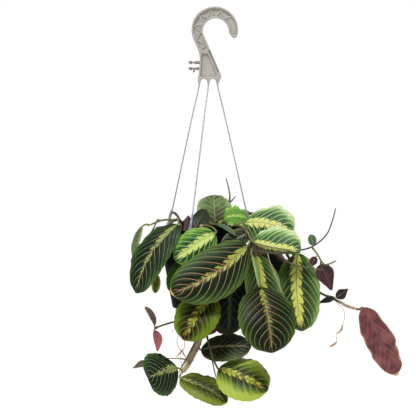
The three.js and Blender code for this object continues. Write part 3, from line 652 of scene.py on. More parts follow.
@dataclass(frozen=True)
class LeafTop:
    """The patterned upper side of a leaf.

    Colours come first: the dark patches between the veins, the field round them, the margin,
    the band on the midrib, and the veins at the midrib and at the margin. Widths and reaches
    are shares of the half blade. blotch breaks the patches up as far out as it says, breaks is
    how much of the band is missing, halo how dark a patch is beside a vein and taper how much
    the band narrows towards the tip.
    """

    name: str
    patch: str
    field: str
    margin: str
    band: str
    vein: str
    vein_end: str
    band_width: float = 0.2
    patch_reach: float = 0.62
    vein_width: float = 0.042
    patch_share: float = 1.0
    blotch: float = 0.0
    breaks: float = 0.25
    halo: float = 0.6
    taper: float = 0.35

    DRY_DARK = "a07a40"
    DRY_PALE = "ecd888"

    def material(self) -> Material:
        """Paints patches between the veins, a lobed band on the midrib and fine lines.

        Returns:
            The material.
        """
        paint = BladePaint(bpy.data.materials.new(self.name))
        along, lean, reach, phase = paint.along, paint.lean, paint.reach, paint.phase
        near, fine = paint.near, paint.fine
        streak = paint.noise(paint.vector(phase * 13.0, lean * 1.1), 1.0, 2.0)
        broad = paint.noise(paint.vector(phase * 1.7, lean * 2.0, along), 1.0, 2.0)
        cloud = paint.noise(paint.place(), 90.0, 2.0)
        # The ground runs from the dark patches to the margin, with streaks along the veins.
        edge = reach + (cloud - 0.5) * 0.3 + (broad - 0.5) * 0.35 - near * 0.3 + 0.05
        turned = edge.step(self.patch_reach, self.patch_reach + 0.4)
        ground = paint.mix(turned, self.field, self.margin)
        dark = edge.step(self.patch_reach - 0.25, self.patch_reach + 0.12, 1.0, 0.0)
        dark = dark * near.step(0.0, 0.12, self.halo, 1.0) * self.patch_share
        if self.blotch:
            dark = dark * (near + (broad - 0.5) * 1.3 + (cloud - 0.5) * 1.1).step(0.2, 0.36)
            dark = dark * reach.step(self.blotch, self.blotch + 0.14, 1.0, 0.0)
        ground = paint.mix(dark, ground, self.patch)
        ground = paint.mix((streak - 0.52) * 1.1, ground, self.margin)
        ground = paint.mix((0.46 - streak) * 2.2, ground, self.patch)
        ground = paint.mix((fine - 0.6) * 1.4, ground, self.patch)
        # The band along the midrib has a lobe between each two veins, and breaks up in places.
        lobe = near.step(0.02, 0.3, 0.42, 0.95) + (paint.tooth - 0.5) * 0.5
        width = self.band_width * (1.0 - self.taper * along) * lobe * (0.4 + 1.2 * broad)
        band = (width - reach + (fine - 0.5) * 0.07 + (streak - 0.5) * 0.09).step(-0.012, 0.016)
        band = band * along.step(0.86, 0.97, 1.0, 0.0)
        whole = broad + near * 0.5 + (fine - 0.5) * 0.2 + (0.3 - along) * 0.35
        band = band * whole.step(self.breaks, self.breaks + 0.12, 0.15, 1.0)
        inner = paint.mix((0.6 - streak) * 1.5, self.band, self.margin)
        ground = paint.mix(band, ground, inner)
        # The veins thin out towards the margin, and the midrib ends before the tip.
        thin = self.vein_width * (1.15 - 0.7 * reach)
        line = (thin - near).step(-0.014, 0.01) * reach.step(0.93, 1.0, 1.0, 0.0)
        veins = paint.mix(reach.step(0.15, 0.8), self.vein, self.vein_end)
        ground = paint.mix(line * 0.95, ground, veins)
        rib = reach.step(0.012, 0.035, 1.0, 0.0) * along.step(0.9, 0.99, 1.0, 0.0)
        ground = paint.mix(rib * 0.7, ground, self.vein)
        dry = paint.dryness(cloud)
        ground = paint.mix(dry, ground, paint.mix(fine, self.DRY_DARK, self.DRY_PALE))
        height = near.step(0.0, 0.1) * 0.4 + streak * 0.4 + fine * 0.15
        return paint.done(
            Base_Color=ground,
            Roughness=0.46 + dry * 0.3 + (fine - 0.5) * 0.15 + (cloud - 0.5) * 0.2,
            Normal=paint.relief(height, 0.0005, 0.6),
            Specular_IOR_Level=0.14,
        )


@dataclass(frozen=True)
class LeafBack:
    """The smooth underside of a leaf."""

    name: str
    deep: str
    pale: str
    vein: str
    margin: str

    DRY_DARK = "7d5a35"
    DRY_PALE = "d5bd86"

    def material(self) -> Material:
        """Paints cloudy colour with pale veins and a greener margin.

        Returns:
            The material.
        """
        paint = BladePaint(bpy.data.materials.new(self.name))
        reach, near, fine = paint.reach, paint.near, paint.fine
        cloud = paint.noise(paint.place(), 70.0, 3.0)
        grain = paint.noise(paint.vector(paint.phase * 9.0, paint.lean * 1.3), 1.0, 2.0)
        ground = paint.mix(cloud.step(0.3, 0.7), self.deep, self.pale)
        ground = paint.mix((grain - 0.5) * 1.1 + 0.1, ground, self.pale)
        ground = paint.mix(near.step(0.1, 0.45) * (cloud + 0.1) * 0.7, ground, self.pale)
        line = near.step(0.02, 0.06, 1.0, 0.0) * reach.step(0.85, 1.0, 1.0, 0.0)
        ground = paint.mix(line * 0.45, ground, self.vein)
        rib = reach.step(0.02, 0.06, 1.0, 0.0)
        ground = paint.mix(rib * 0.8, ground, self.vein)
        rim = (reach + (cloud - 0.5) * 0.15).step(0.9, 0.99)
        ground = paint.mix(rim * 0.6, ground, self.margin)
        dried = paint.mix(fine, self.DRY_DARK, self.DRY_PALE)
        ground = paint.mix(paint.dryness(cloud), ground, dried)
        height = near.step(0.0, 0.12) * -0.5 + grain * 0.3 + fine * 0.2
        return paint.done(
            Base_Color=ground,
            Roughness=0.5 + (fine - 0.5) * 0.2,
            Normal=paint.relief(height, 0.0007, 0.7),
            Specular_IOR_Level=0.3,
            Sheen_Weight=0.12,
            Sheen_Roughness=0.4,
        )


@dataclass(frozen=True)
class StemSkin:
    """The skin of a stem, stalk or sheath."""

    name: str
    fresh: str
    woody: str
    flush: str
    streaks: float = 1.4

    def material(self) -> Material:
        """Paints lengthwise streaks, woody patches and a flush of colour.

        Returns:
            The material.
        """
        paint = Paint(bpy.data.materials.new(self.name))
        cloud = paint.noise(paint.place(), 55.0, 3.0)
        streak = paint.noise(paint.place((700.0, 700.0, 90.0)), 1.0, 2.0)
        fine = paint.noise(paint.place(), 1500.0, 2.0)
        ground = paint.mix(cloud.step(0.35, 0.65), self.fresh, self.woody)
        ground = paint.mix((streak - 0.5) * self.streaks, ground, self.flush)
        ground = paint.mix((0.42 - streak) * self.streaks, ground, self.woody)
        ground = paint.mix((fine - 0.6) * 1.5, ground, self.woody)
        return paint.done(
            Base_Color=ground,
            Roughness=0.5 + (streak - 0.5) * 0.3,
            Normal=paint.relief(streak * 0.7 + fine * 0.3, 0.0003, 0.6),
            Specular_IOR_Level=0.35,
        )


@dataclass(frozen=True)
class Moulding:
    """A moulded plastic."""

    name: str
    shade: str
    worn: str
    roughness: float
    grain: float = 0.00006
    specular: float = 0.5

    def material(self) -> Material:
        """Paints faint flow marks, scuffs and a fine moulded grain.

        Returns:
            The material.
        """
        paint = Paint(bpy.data.materials.new(self.name))
        flow = paint.noise(paint.place((60.0, 60.0, 18.0)), 1.0, 3.0)
        fine = paint.noise(paint.place(), 2200.0, 2.0)
        scuff = paint.noise(paint.place((420.0, 420.0, 120.0)), 1.0, 4.0, 0.7)
        ground = paint.mix(flow.step(0.3, 0.75) * 0.6, self.shade, self.worn)
        ground = paint.mix(scuff.step(0.62, 0.78) * 0.5, ground, self.worn)
        return paint.done(
            Base_Color=ground,
            Roughness=self.roughness + (flow - 0.5) * 0.12 + scuff.step(0.6, 0.8) * 0.18,
            Normal=paint.relief(fine, self.grain, 0.5),
            Specular_IOR_Level=self.specular,
        )


@dataclass(frozen=True)
class Galvanised:
    """Zinc-coated drawn wire."""

    name: str = "wire_zinc"

    def material(self) -> Material:
        """Paints dull grey metal with drawing marks.

        Returns:
            The material.
        """
        paint = Paint(bpy.data.materials.new(self.name))
        drawn = paint.noise(paint.place((900.0, 900.0, 40.0)), 1.0, 3.0)
        spots = paint.noise(paint.place(), 300.0, 3.0)
        ground = paint.mix(spots.step(0.35, 0.7), "a3a5a8", "c4c6c9")
        return paint.done(
            Base_Color=ground,
            Metallic=0.45,
            Roughness=0.38 + (drawn - 0.5) * 0.3,
            Normal=paint.relief(drawn, 0.00005, 0.5),
        )


@dataclass(frozen=True)
class Peat:
    """Loose potting mix and what lies in it."""

    name: str
    dark: str
    light: str

    def material(self) -> Material:
        """Paints crumbly fibres of two tones.

        Returns:
            The material.
        """
        paint = Paint(bpy.data.materials.new(self.name))
        crumbs = paint.cells(paint.place(), 420.0)
        fibre = paint.noise(paint.place((900.0, 300.0, 900.0)), 1.0, 4.0, 0.7)
        ground = paint.mix(crumbs.step(0.1, 0.7) * 0.5 + (fibre - 0.4) * 0.9, self.dark, self.light)
        return paint.done(
            Base_Color=ground,
            Roughness=0.92,
            Normal=paint.relief(crumbs * 0.6 + fibre * 0.4, 0.0012, 0.8),
            Specular_IOR_Level=0.2,
        )


class Coat(Enum):
    """The upper sides that the plant's leaves have; SHADE is darkened with painted shade."""

    DARK = LeafTop(
        "leaf_dark_green", "0a1a05", "1b3410", "4c6826", "a3ae4c", "c99272", "b5ad82",
        band_width=0.25, patch_reach=0.6, vein_width=0.032, breaks=0.5, taper=0.75,
    )
    DEEP = LeafTop(
        "leaf_deep_green", "091604", "1d310d", "4f6724", "97a648", "bb8a66", "a7a170",
        band_width=0.15, patch_reach=0.7, vein_width=0.03, breaks=0.6,
    )
    DUSK = LeafTop(
        "leaf_dusk_green", "0a1e0a", "1b3715", "4b6a2a", "97a856", "b5a78c", "9aa07c",
        band_width=0.24, patch_reach=0.7, vein_width=0.027, breaks=0.5, taper=0.85,
    )
    GREEN = LeafTop(
        "leaf_mid_green", "1a3a17", "43692e", "93ac5c", "c8d45a", "d9a582", "c3b488",
        band_width=0.3, vein_width=0.034,
    )
    BRIGHT = LeafTop(
        "leaf_bright_green", "1f5020", "4f853a", "c3d69a", "cfd66c", "f0dcb8", "ebe6c2",
        band_width=0.26, patch_reach=0.5, vein_width=0.042,
    )
    FRESH = LeafTop(
        "leaf_fresh_green", "123c10", "306a1d", "7aa23c", "bdd46c", "e4eab8", "c9d798",
        band_width=0.36, patch_reach=0.5, vein_width=0.034,
    )
    YOUNG = LeafTop(
        "leaf_young_green", "42761f", "6ca038", "a3c862", "a6c464", "b4cd80", "9cba6a",
        patch_share=0.6, vein_width=0.02,
    )
    YELLOW = LeafTop(
        "leaf_yellow_green", "0d1904", "2c430d", "657b1a", "9aad3c", "ae6630", "8c7430",
        band_width=0.26, patch_reach=0.4, breaks=0.45,
    )
    LIME = LeafTop(
        "leaf_lime_green", "132608", "4f6f1c", "a3b546", "a9b44a", "a96c3f", "98934f",
        band_width=0.2, patch_reach=0.36, breaks=0.4,
    )
    OLIVE = LeafTop(
        "leaf_olive", "1a220a", "4b5719", "79852f", "a0a862", "80744a", "7c7c4c",
        patch_share=0.85, patch_reach=0.34, band_width=0.2, vein_width=0.02, breaks=0.6,
    )
    NIGHT = LeafTop(
        "leaf_night_green", "1c2714", "414b29", "6b7548", "7d8057", "aea68c", "929278",
        band_width=0.14, patch_reach=0.7, vein_width=0.026, breaks=0.45,
    )
    # Painted shade: a near-black copy of the leaf colours, for leaves that hang in the shade of others.
    SHADE = LeafTop(
        "leaf_green_painted_shade", "060c03", "0f1a08", "26361a", "33441f", "4a4c34", "454a34",
        band_width=0.18, vein_width=0.024,
    )
    PLAIN = LeafTop(
        "leaf_plain_green", "1c3a10", "2f5a1c", "47752b", "3d6a24", "55853a", "4b7a34",
        patch_share=0.4, vein_width=0.018, band_width=0.08,
    )
    SPOTTED = LeafTop(
        "leaf_spotted", "56463f", "647d4a", "9aac70", "7a9250", "8aa362", "8aa362",
        blotch=0.5, vein_width=0.014, band_width=0.06,
    )
    SAGE = LeafTop(
        "leaf_sage", "3e5238", "566c4c", "7a9068", "7a9068", "869c74", "869c74",
        patch_share=0.5, vein_width=0.02,
    )
    SMOKE = LeafTop(
        "leaf_smoky", "15130f", "2a2a22", "43433a", "3f4335", "5a544e", "55504c",
        band_width=0.08, vein_width=0.022,
    )
    PALE = LeafTop(
        "leaf_pale", "55703c", "7a9458", "a0b47e", "a4b872", "b6c490", "b0be8a",
        patch_share=0.4, vein_width=0.02,
    )


class Under(Enum):
    """The undersides that the plant's leaves have."""

    WINE = LeafBack("leaf_under_wine", "3c161f", "642a34", "8a4c52", "55492e")
    DUSTY = LeafBack("leaf_under_dusty", "431c23", "87504e", "5a2a32", "94764f")
    MAROON = LeafBack("leaf_under_maroon", "2a1518", "4f2a2f", "6d4246", "4c4436")
    ROSE = LeafBack("leaf_under_rose", "7c3644", "a6545f", "c28386", "6f4a46")
    MAUVE = LeafBack("leaf_under_mauve", "463b34", "705a50", "8f746a", "7d3f49")
    SLATE = LeafBack("leaf_under_slate", "202b1d", "36432e", "4c5844", "3b4a2e")
    LILAC = LeafBack("leaf_under_lilac", "47303a", "76525d", "8f6a72", "4c4a3c")
    PLUM = LeafBack("leaf_under_plum", "190f12", "2c1c1f", "453432", "262320")


class Skin(Enum):
    """The skins of stems, stalks and sheaths."""

    GREEN = StemSkin("stem_green", "6d7a45", "5c5a38", "93955f")
    OLIVE = StemSkin("stem_olive", "4e5233", "54462f", "6f6a45")
    RUNNER = StemSkin("stem_runner", "453f2c", "3a3026", "6a5a42")
    SHEATH = StemSkin("stem_sheath", "b9ad7c", "7c5f42", "e2d4b0", 3.2)
    BLUSH = StemSkin("stem_blush", "c6b692", "94705a", "ead9bf", 3.2)
    TWIG = StemSkin("dry_twig", "96683f", "6e4a30", "b98c60")
    SPEAR = StemSkin("stem_spear", "7a4a55", "5d343e", "a4717a")
    STALK = StemSkin("leaf_stalk", "6d7d3f", "79703f", "93a05a")
    FLUSHED = StemSkin("leaf_stalk_red", "7b5340", "6b4a35", "a06c55")
    BARE = StemSkin("stalk_bare_skin", "bcbba0", "a3987c", "e0d6c2")
    DRY = StemSkin("dry_thread", "b89468", "8d6b46", "d8bd92")


class Palette:
    """Makes each finish once, when it is first asked for."""

    def __init__(self) -> None:
        """Starts with nothing made."""
        self.made: dict[str, Material] = {}

    def get(self, finish: object) -> Material:
        """The material of a finish.

        Args:
            finish: A finish, or an Enum entry that holds one.

        Returns:
            The material, which is made at the first call.
        """
        recipe = finish.value if isinstance(finish, Enum) else finish
        if recipe.name not in self.made:
            self.made[recipe.name] = recipe.material()
        return self.made[recipe.name]


# ---- Hanger, wires and clips ----------------------------------------------------------------


@dataclass
class Hanger:
    """The moulded hook, with ribs between the pockets of both faces and two label pegs."""

    thickness: float = 9.0
    web: float = 3.0
    bevel: float = 1.0
    throat: Pair = (0.0, -19.5)
    throat_radius: float = 19.5
    crown: Pair = (-1.5, -17.5)
    crown_radius: float = 34.5
    prongs: tuple[float, float, float] = (-24.5, -11.0, 2.5)
    prong_half: float = 2.0
    arch_radius: float = 4.8
    arch_z: float = -94.5
    foot_z: float = -96.5
    band: Pair = (0.16, 0.84)
    ridge: float = 1.5
    peg_x: float = -23.6
    peg_heights: Pair = (-65.5, -74.5)

    # The tip's corners on both sides of its channel, then the hollows of the shank.
    CHANNEL_TIP = [(30.4, -23.4), (26.6, -26.4), (22.6, -22.4)]
    CHANNEL_START = [(-2.0,), (11.0,), (25.0,)]
    SHANK = [
        (-21.0, -52.5), (-12.3, -52.5), (1.2, -83.8), (1.4, -87.0), (-4.0, -86.4), (-11.0, -87.4),
        (-18.0, -86.4), (-23.0, -86.8), (-21.3, -70.0),
    ]
    GROOVE = [(-11.2, -48.0), (-9.4, -48.0), (4.6, -80.6), (2.8, -80.6)]

    # How far each peg stands out, and its radius there.
    BLOCK_PEG = [
        (0.0, 2.6), (7.6, 2.6), (8.6, 2.1), (9.0, 1.5), (13.0, 1.4), (13.3, 2.9), (14.2, 3.1),
        (18.2, 0.8), (18.5, 0.2),
    ]
    SLIM_PEG = [
        (0.0, 2.4), (6.4, 2.3), (7.0, 1.5), (12.6, 1.4), (13.4, 2.5), (14.6, 2.7), (17.9, 1.0),
        (18.4, 0.3),
    ]

    # The height of the knob under the lower peg, and its radius there.
    KNOB_X = -32.5
    KNOB = [(-74.5, 1.3), (-78.0, 1.5), (-79.6, 1.9), (-80.4, 0.8)]

    def outline(self) -> list[Pair]:
        """The hook's outline from its tip, over the crown, down the shank and back.

        Returns:
            The outline's points.
        """
        crown = arc(self.crown, self.crown_radius, -12.0, 198.0, 64)
        edge = curve([(24.2, -27.5), (25.7, -30.1), (30.8, -30.3), crown[0]], 14)
        edge += crown[1:]
        edge += curve([edge[-1], (-31.3, -37.2), (-24.0, -47.0), (-23.7, -60.0)], 16)[1:]
        edge += curve([edge[-1], (-24.0, -72.0), (-26.6, -90.0)], 10)[1:]
        for k, x in enumerate(self.prongs):
            edge += [(x - self.prong_half, self.foot_z), (x + self.prong_half, self.foot_z)]
            if k + 1 < len(self.prongs):
                middle = (x + self.prongs[k + 1]) / 2
                edge += arc((middle, self.arch_z), self.arch_radius, 180.0, 0.0, 14)
        edge.append((8.0, -87.5))
        edge += curve([edge[-1], (8.4, -85.0), (7.4, -82.8)], 6)[1:]
        edge += arc(self.throat, self.throat_radius, 186.0, 0.0, 56)
        edge += curve([edge[-1], (19.5, -22.5), (22.5, -24.8), edge[0]], 6)[1:-1]
        return edge

    def across_band(self, station: tuple, share: float) -> Pair:
        """A point of the hook's band, from its inner edge at 0 to its outer edge at 1.

        Args:
            station: An angle round the crown, or a height with its outer and inner edge.
            share: How far across the band.

        Returns:
            The point.
        """
        if len(station) == 1:
            inner = arc(self.throat, self.throat_radius, station[0], station[0], 0)[0]
            outer = arc(self.crown, self.crown_radius, station[0], station[0], 0)[0]
            return tuple(np.array(inner) + share * (np.array(outer) - np.array(inner)))
        height, left, right = station
        return (right + share * (left - right), height)

    def stations(self) -> list[tuple]:
        """Where the ribs end: angles round the crown, then heights on the shank with its edges."""
        crown = [(float(angle),) for angle in range(40, 185, 16)]
        return crown + [(-32.0, -31.2, -16.0), (-40.0, -27.8, -12.4), (-47.0, -25.4, -9.6)]

    def pockets(self) -> list[list[Pair]]:
        """The hollows of each face.

        Returns:
            The channel round the crown, the shank's pocket and the groove beside it.
        """
        run = self.CHANNEL_START + self.stations()
        channel = self.CHANNEL_TIP[1:] + [self.across_band(s, self.band[0]) for s in run]
        channel += [self.across_band(s, self.band[1]) for s in reversed(run)]
        channel += self.CHANNEL_TIP[:1]
        return [rounded(channel, 2.6), rounded(self.SHANK, 2.2), rounded(self.GROOVE, 0.8)]

    def ribs(self) -> list[Piece]:
        """The ridges that zigzag along the floor of the channel, on both faces.

        Returns:
            One rod for each ridge.
        """
        ends = [self.across_band(s, self.band[(k + 1) % 2]) for k, s in enumerate(self.stations())]
        ridges = []
        for y in (-self.web / 2, self.web / 2):
            for (ax, az), (bx, bz) in zip(ends, ends[1:]):
                line = np.linspace((ax, y, az), (bx, y, bz), 9)
                ridges.append(Bench.tube("ridge", line, self.ridge, 10))
        return ridges

    def peg(self, height: float, barb: list[Pair]) -> Piece:
        """A peg that stands out to the left; barb is its reach and radius at each point."""
        points = np.array([(self.peg_x + 1.0 - reach, 0.0, height) for reach, _ in barb])
        return Bench.tube("peg", points, np.array([radius for _, radius in barb]), 14)

    def build(self, palette: Palette) -> None:
        """Moulds the hook and dresses it.

        Args:
            palette: Where the finishes come from.
        """
        outline = self.outline()
        rims = Bench.plate("rims", [outline, *self.pockets()], self.thickness, self.bevel)
        web = Bench.plate("web", [rounded(outline, 0.6, 2)], self.web, 0.9)
        upper = self.peg(self.peg_heights[0], self.BLOCK_PEG)
        lower = self.peg(self.peg_heights[1], self.SLIM_PEG)
        drop = np.array([(self.KNOB_X, 0.0, height) for height, _ in self.KNOB])
        knob = Bench.tube("knob", drop, np.array([radius for _, radius in self.KNOB]), 12)
        plastic = palette.get(Moulding("hanger_plastic", "aaa79f", "bbb7ae", 0.3, 0.00001))
        # Painted shade: the pegs and the knob get a darker copy of the hook's plastic, for the shade that the
        # thin glossy pegs show.
        peg_painted_shade = palette.get(Moulding("hanger_peg_plastic_painted_shade", "7f7d79", "92908c", 0.35, 0.00001))
        bodies = [Bench.dress(body, plastic) for body in (rims, web, *self.ribs())]
        pegs = [Bench.dress(peg, peg_painted_shade) for peg in (upper, lower, knob)]
        hook = Bench.weld("hook_moulding", bodies + pegs)
        Bench.settle(hook, 32.0)
        Bench.hand_over(hook, "hanger_plastic", "hanger_hook")


@dataclass
class Suspension:
    """The three wires and the clips that hold the pot's lugs."""

    hanger: Hanger
    bore_z: float = -88.0
    angles: tuple[float, float, float] = (224.0, 104.0, -16.0)
    sides: tuple[str, str, str] = ("left", "middle", "right")
    lug_drop: float = 3.0
    lug_reach: float = 74.5
    wire_radius: float = 0.95
    shoulder: float = 31.0
    lean: float = 0.25
    wire_end: float = 4.0

    # Both parts of a clip: how far along the part, and its radius there.
    BALL_HEIGHT = 4.9
    SLEEVE = [
        (0.0, 2.2), (2.0, 2.1), (7.0, 1.9), (8.0, 2.1), (8.6, 1.75), (16.0, 1.55), (23.0, 1.4),
        (23.6, 1.0),
    ]
    SHANK = [
        (-6.3, 1.3), (-6.0, 2.0), (-5.2, 3.0), (-2.5, 3.6), (-2.3, 2.1), (0.0, 2.1), (2.3, 2.1),
        (2.5, 2.7), (4.0, 3.2), (5.6, 3.3), (7.0, 2.8), (7.9, 1.6), (8.1, 0.6),
    ]

    def lug(self, k: int) -> np.ndarray:
        """The middle of a lug's hole.

        Args:
            k: Which lug, in the order of the sides.

        Returns:
            The point.
        """
        angle = math.radians(self.angles[k])
        x, y = self.lug_reach * math.cos(angle), -self.lug_reach * math.sin(angle)
        return np.array([POT_X + x, y, RIM_Z - self.lug_drop])

    def foot(self, k: int) -> np.ndarray:
        """The end of a prong."""
        return np.array([self.hanger.prongs[k], 0.0, self.hanger.foot_z])

    def direction(self, k: int) -> np.ndarray:
        """The way that a wire runs up from its lug."""
        return unit(self.foot(k) - self.lug(k))

    def wire(self, k: int) -> Piece:
        """Bends one wire from its prong to its clip.

        Args:
            k: Which wire, in the order of the sides.

        Returns:
            The wire.
        """
        foot = self.foot(k)
        shoulder = self.lug(k) + self.direction(k) * self.shoulder
        points = [
            (foot[0], 0.0, self.bore_z),
            (foot[0], 0.0, foot[2] - 1.0),
            tuple(foot + (shoulder - foot) * self.lean),
            tuple(shoulder),
            tuple(self.lug(k) + self.direction(k) * self.wire_end),
        ]
        line = Path(points).at(np.linspace(0.0, 1.0, 61))
        return Bench.tube(f"wire_{self.sides[k]}_drawn", line, self.wire_radius, 14)

    def clip(self, k: int) -> Piece:
        """Builds one clip: a sleeve and ball on the wire, and a knob under the lug.

        Args:
            k: Which clip, in the order of the sides.

        Returns:
            The clip.
        """
        lug, upright = self.lug(k), np.array([0.0, 0.0, 1.0])
        ball = lug + upright * self.BALL_HEIGHT
        reach, radii = np.array(self.SLEEVE).T
        sleeve = Bench.tube("sleeve", ball + np.outer(reach, self.direction(k)), radii, 16)
        reach, radii = np.array(self.SHANK).T
        body = Bench.tube("shank", lug + np.outer(reach, upright), radii, 20)
        clip = Bench.weld(f"clip_{self.sides[k]}_moulding", [body, sleeve])
        Bench.settle(clip, 35.0)
        return clip

    def build(self, palette: Palette) -> None:
        """Makes the wires and clips and dresses them.

        Args:
            palette: Where the finishes come from.
        """
        zinc = palette.get(Galvanised())
        plastic = palette.get(Moulding("clip_plastic", "7f8791", "a7aeb8", 0.4))
        for k, side in enumerate(self.sides):
            wire = Bench.dress(self.wire(k), zinc)
            Bench.settle(wire, 50.0)
            Bench.hand_over(wire, "wire_steel", f"wire_{side}")
            clip = Bench.dress(self.clip(k), plastic)
            Bench.hand_over(clip, "clip_plastic", f"clip_{side}")


# ---- Pot and soil ---------------------------------------------------------------------------


@dataclass
class Pot:
    """The black pot: a tapered cup with a rim band, three lugs and drain holes."""

    suspension: Suspension
    height: float = 120.0
    wall: float = 2.0
    rim_radius: float = 72.0
    band: float = 9.0
    body_radius: float = 66.5
    base_radius: float = 46.5
    foot: float = 3.0
    drain_radius: float = 3.5
    drain_circle: float = 30.0
    drains: int = 6
    lug_radius: float = 6.5
    lug_thickness: float = 4.0
    lug_hole: float = 2.8
    bead: float = 0.45
    steps: int = 96

    def outer(self, z: float) -> float:
        """The outer wall's radius at a height below the rim band."""
        slope = (self.body_radius - self.base_radius) / (self.height - self.band - self.foot)
        return self.body_radius + slope * (z + self.band)

    def profile(self) -> list[Pair]:
        """The cup's section, from the middle of its base round the outside and back inside.

        Returns:
            The radius and the height below the rim at each point.
        """
        base, rim, wall, at = self.base_radius, self.rim_radius, self.wall, self.outer
        foot = [
            (0.0, -117.6), (24.0, -117.6), (38.0, -117.6), (39.5, -119.7), (base - 3.4, -120.0),
            (base - 1.0, -119.4), (base - 0.1, -117.6),
        ]
        side = [(at(z), z) for z in (-104.0, -70.0, -40.0, -19.0)]
        side += [(at(-18.6) + self.bead, -18.4), (at(-17.0) + self.bead, -17.0)]
        side += [(at(-16.6), -16.6), (at(-10.0), -10.0), (self.body_radius, -9.3)]
        band = [
            (rim - 2.0, -9.0), (rim - 1.4, -8.6), (rim - 0.9, -6.5), (rim - 0.2, -1.6),
            (rim, -0.9), (rim - 0.3, -0.3), (rim - 0.9, 0.0), (rim - 2.0, 0.0), (rim - 2.6, -0.4),
        ]
        inside = [
            (at(-10.0) - wall, -10.2), (at(-60.0) - wall, -60.0), (base - wall, -116.0),
            (base - 5.2, -117.0 + wall), (0.0, -115.6),
        ]
        return foot + side + band + inside

    def build(self, palette: Palette) -> None:
        """Turns the cup, joins the lugs, cuts the holes and dresses the pot.

        Args:
            palette: Where the finishes come from.
        """
        pot = Bench.lathe("pot_moulding", self.profile(), (POT_X, 0.0, RIM_Z), self.steps)
        spots = [tuple(self.suspension.lug(k)) for k in range(len(self.suspension.sides))]
        lugs = [Bench.cylinder(self.lug_radius, self.lug_thickness, spot, 40) for spot in spots]
        for lug in lugs:
            Bench.modify(lug, "BEVEL", width=0.5 * MM, segments=2, limit_method="ANGLE")
        Bench.combine(pot, lugs, "UNION")
        inner = Bench.cylinder(self.rim_radius - 3.4, 8.0, (POT_X, 0.0, RIM_Z - 4.0), self.steps)
        holes = [inner] + [Bench.cylinder(self.lug_hole, 8.0, spot, 28) for spot in spots]
        for k in range(self.drains):
            angle = 2 * math.pi * k / self.drains
            x, y = self.drain_circle * math.cos(angle), self.drain_circle * math.sin(angle)
            spot = (POT_X + x, y, RIM_Z - self.height + 2.0)
            holes.append(Bench.cylinder(self.drain_radius, 12.0, spot, 28))
        Bench.combine(pot, holes, "DIFFERENCE")
        Bench.clean(pot, 2e-6)
        plastic = Moulding("pot_plastic", "020202", "050505", 0.52, 0.00004, 0.03)
        Bench.dress(pot, palette.get(plastic))
        Bench.settle(pot, 30.0)
        Bench.hand_over(pot, "pot_plastic", "pot")


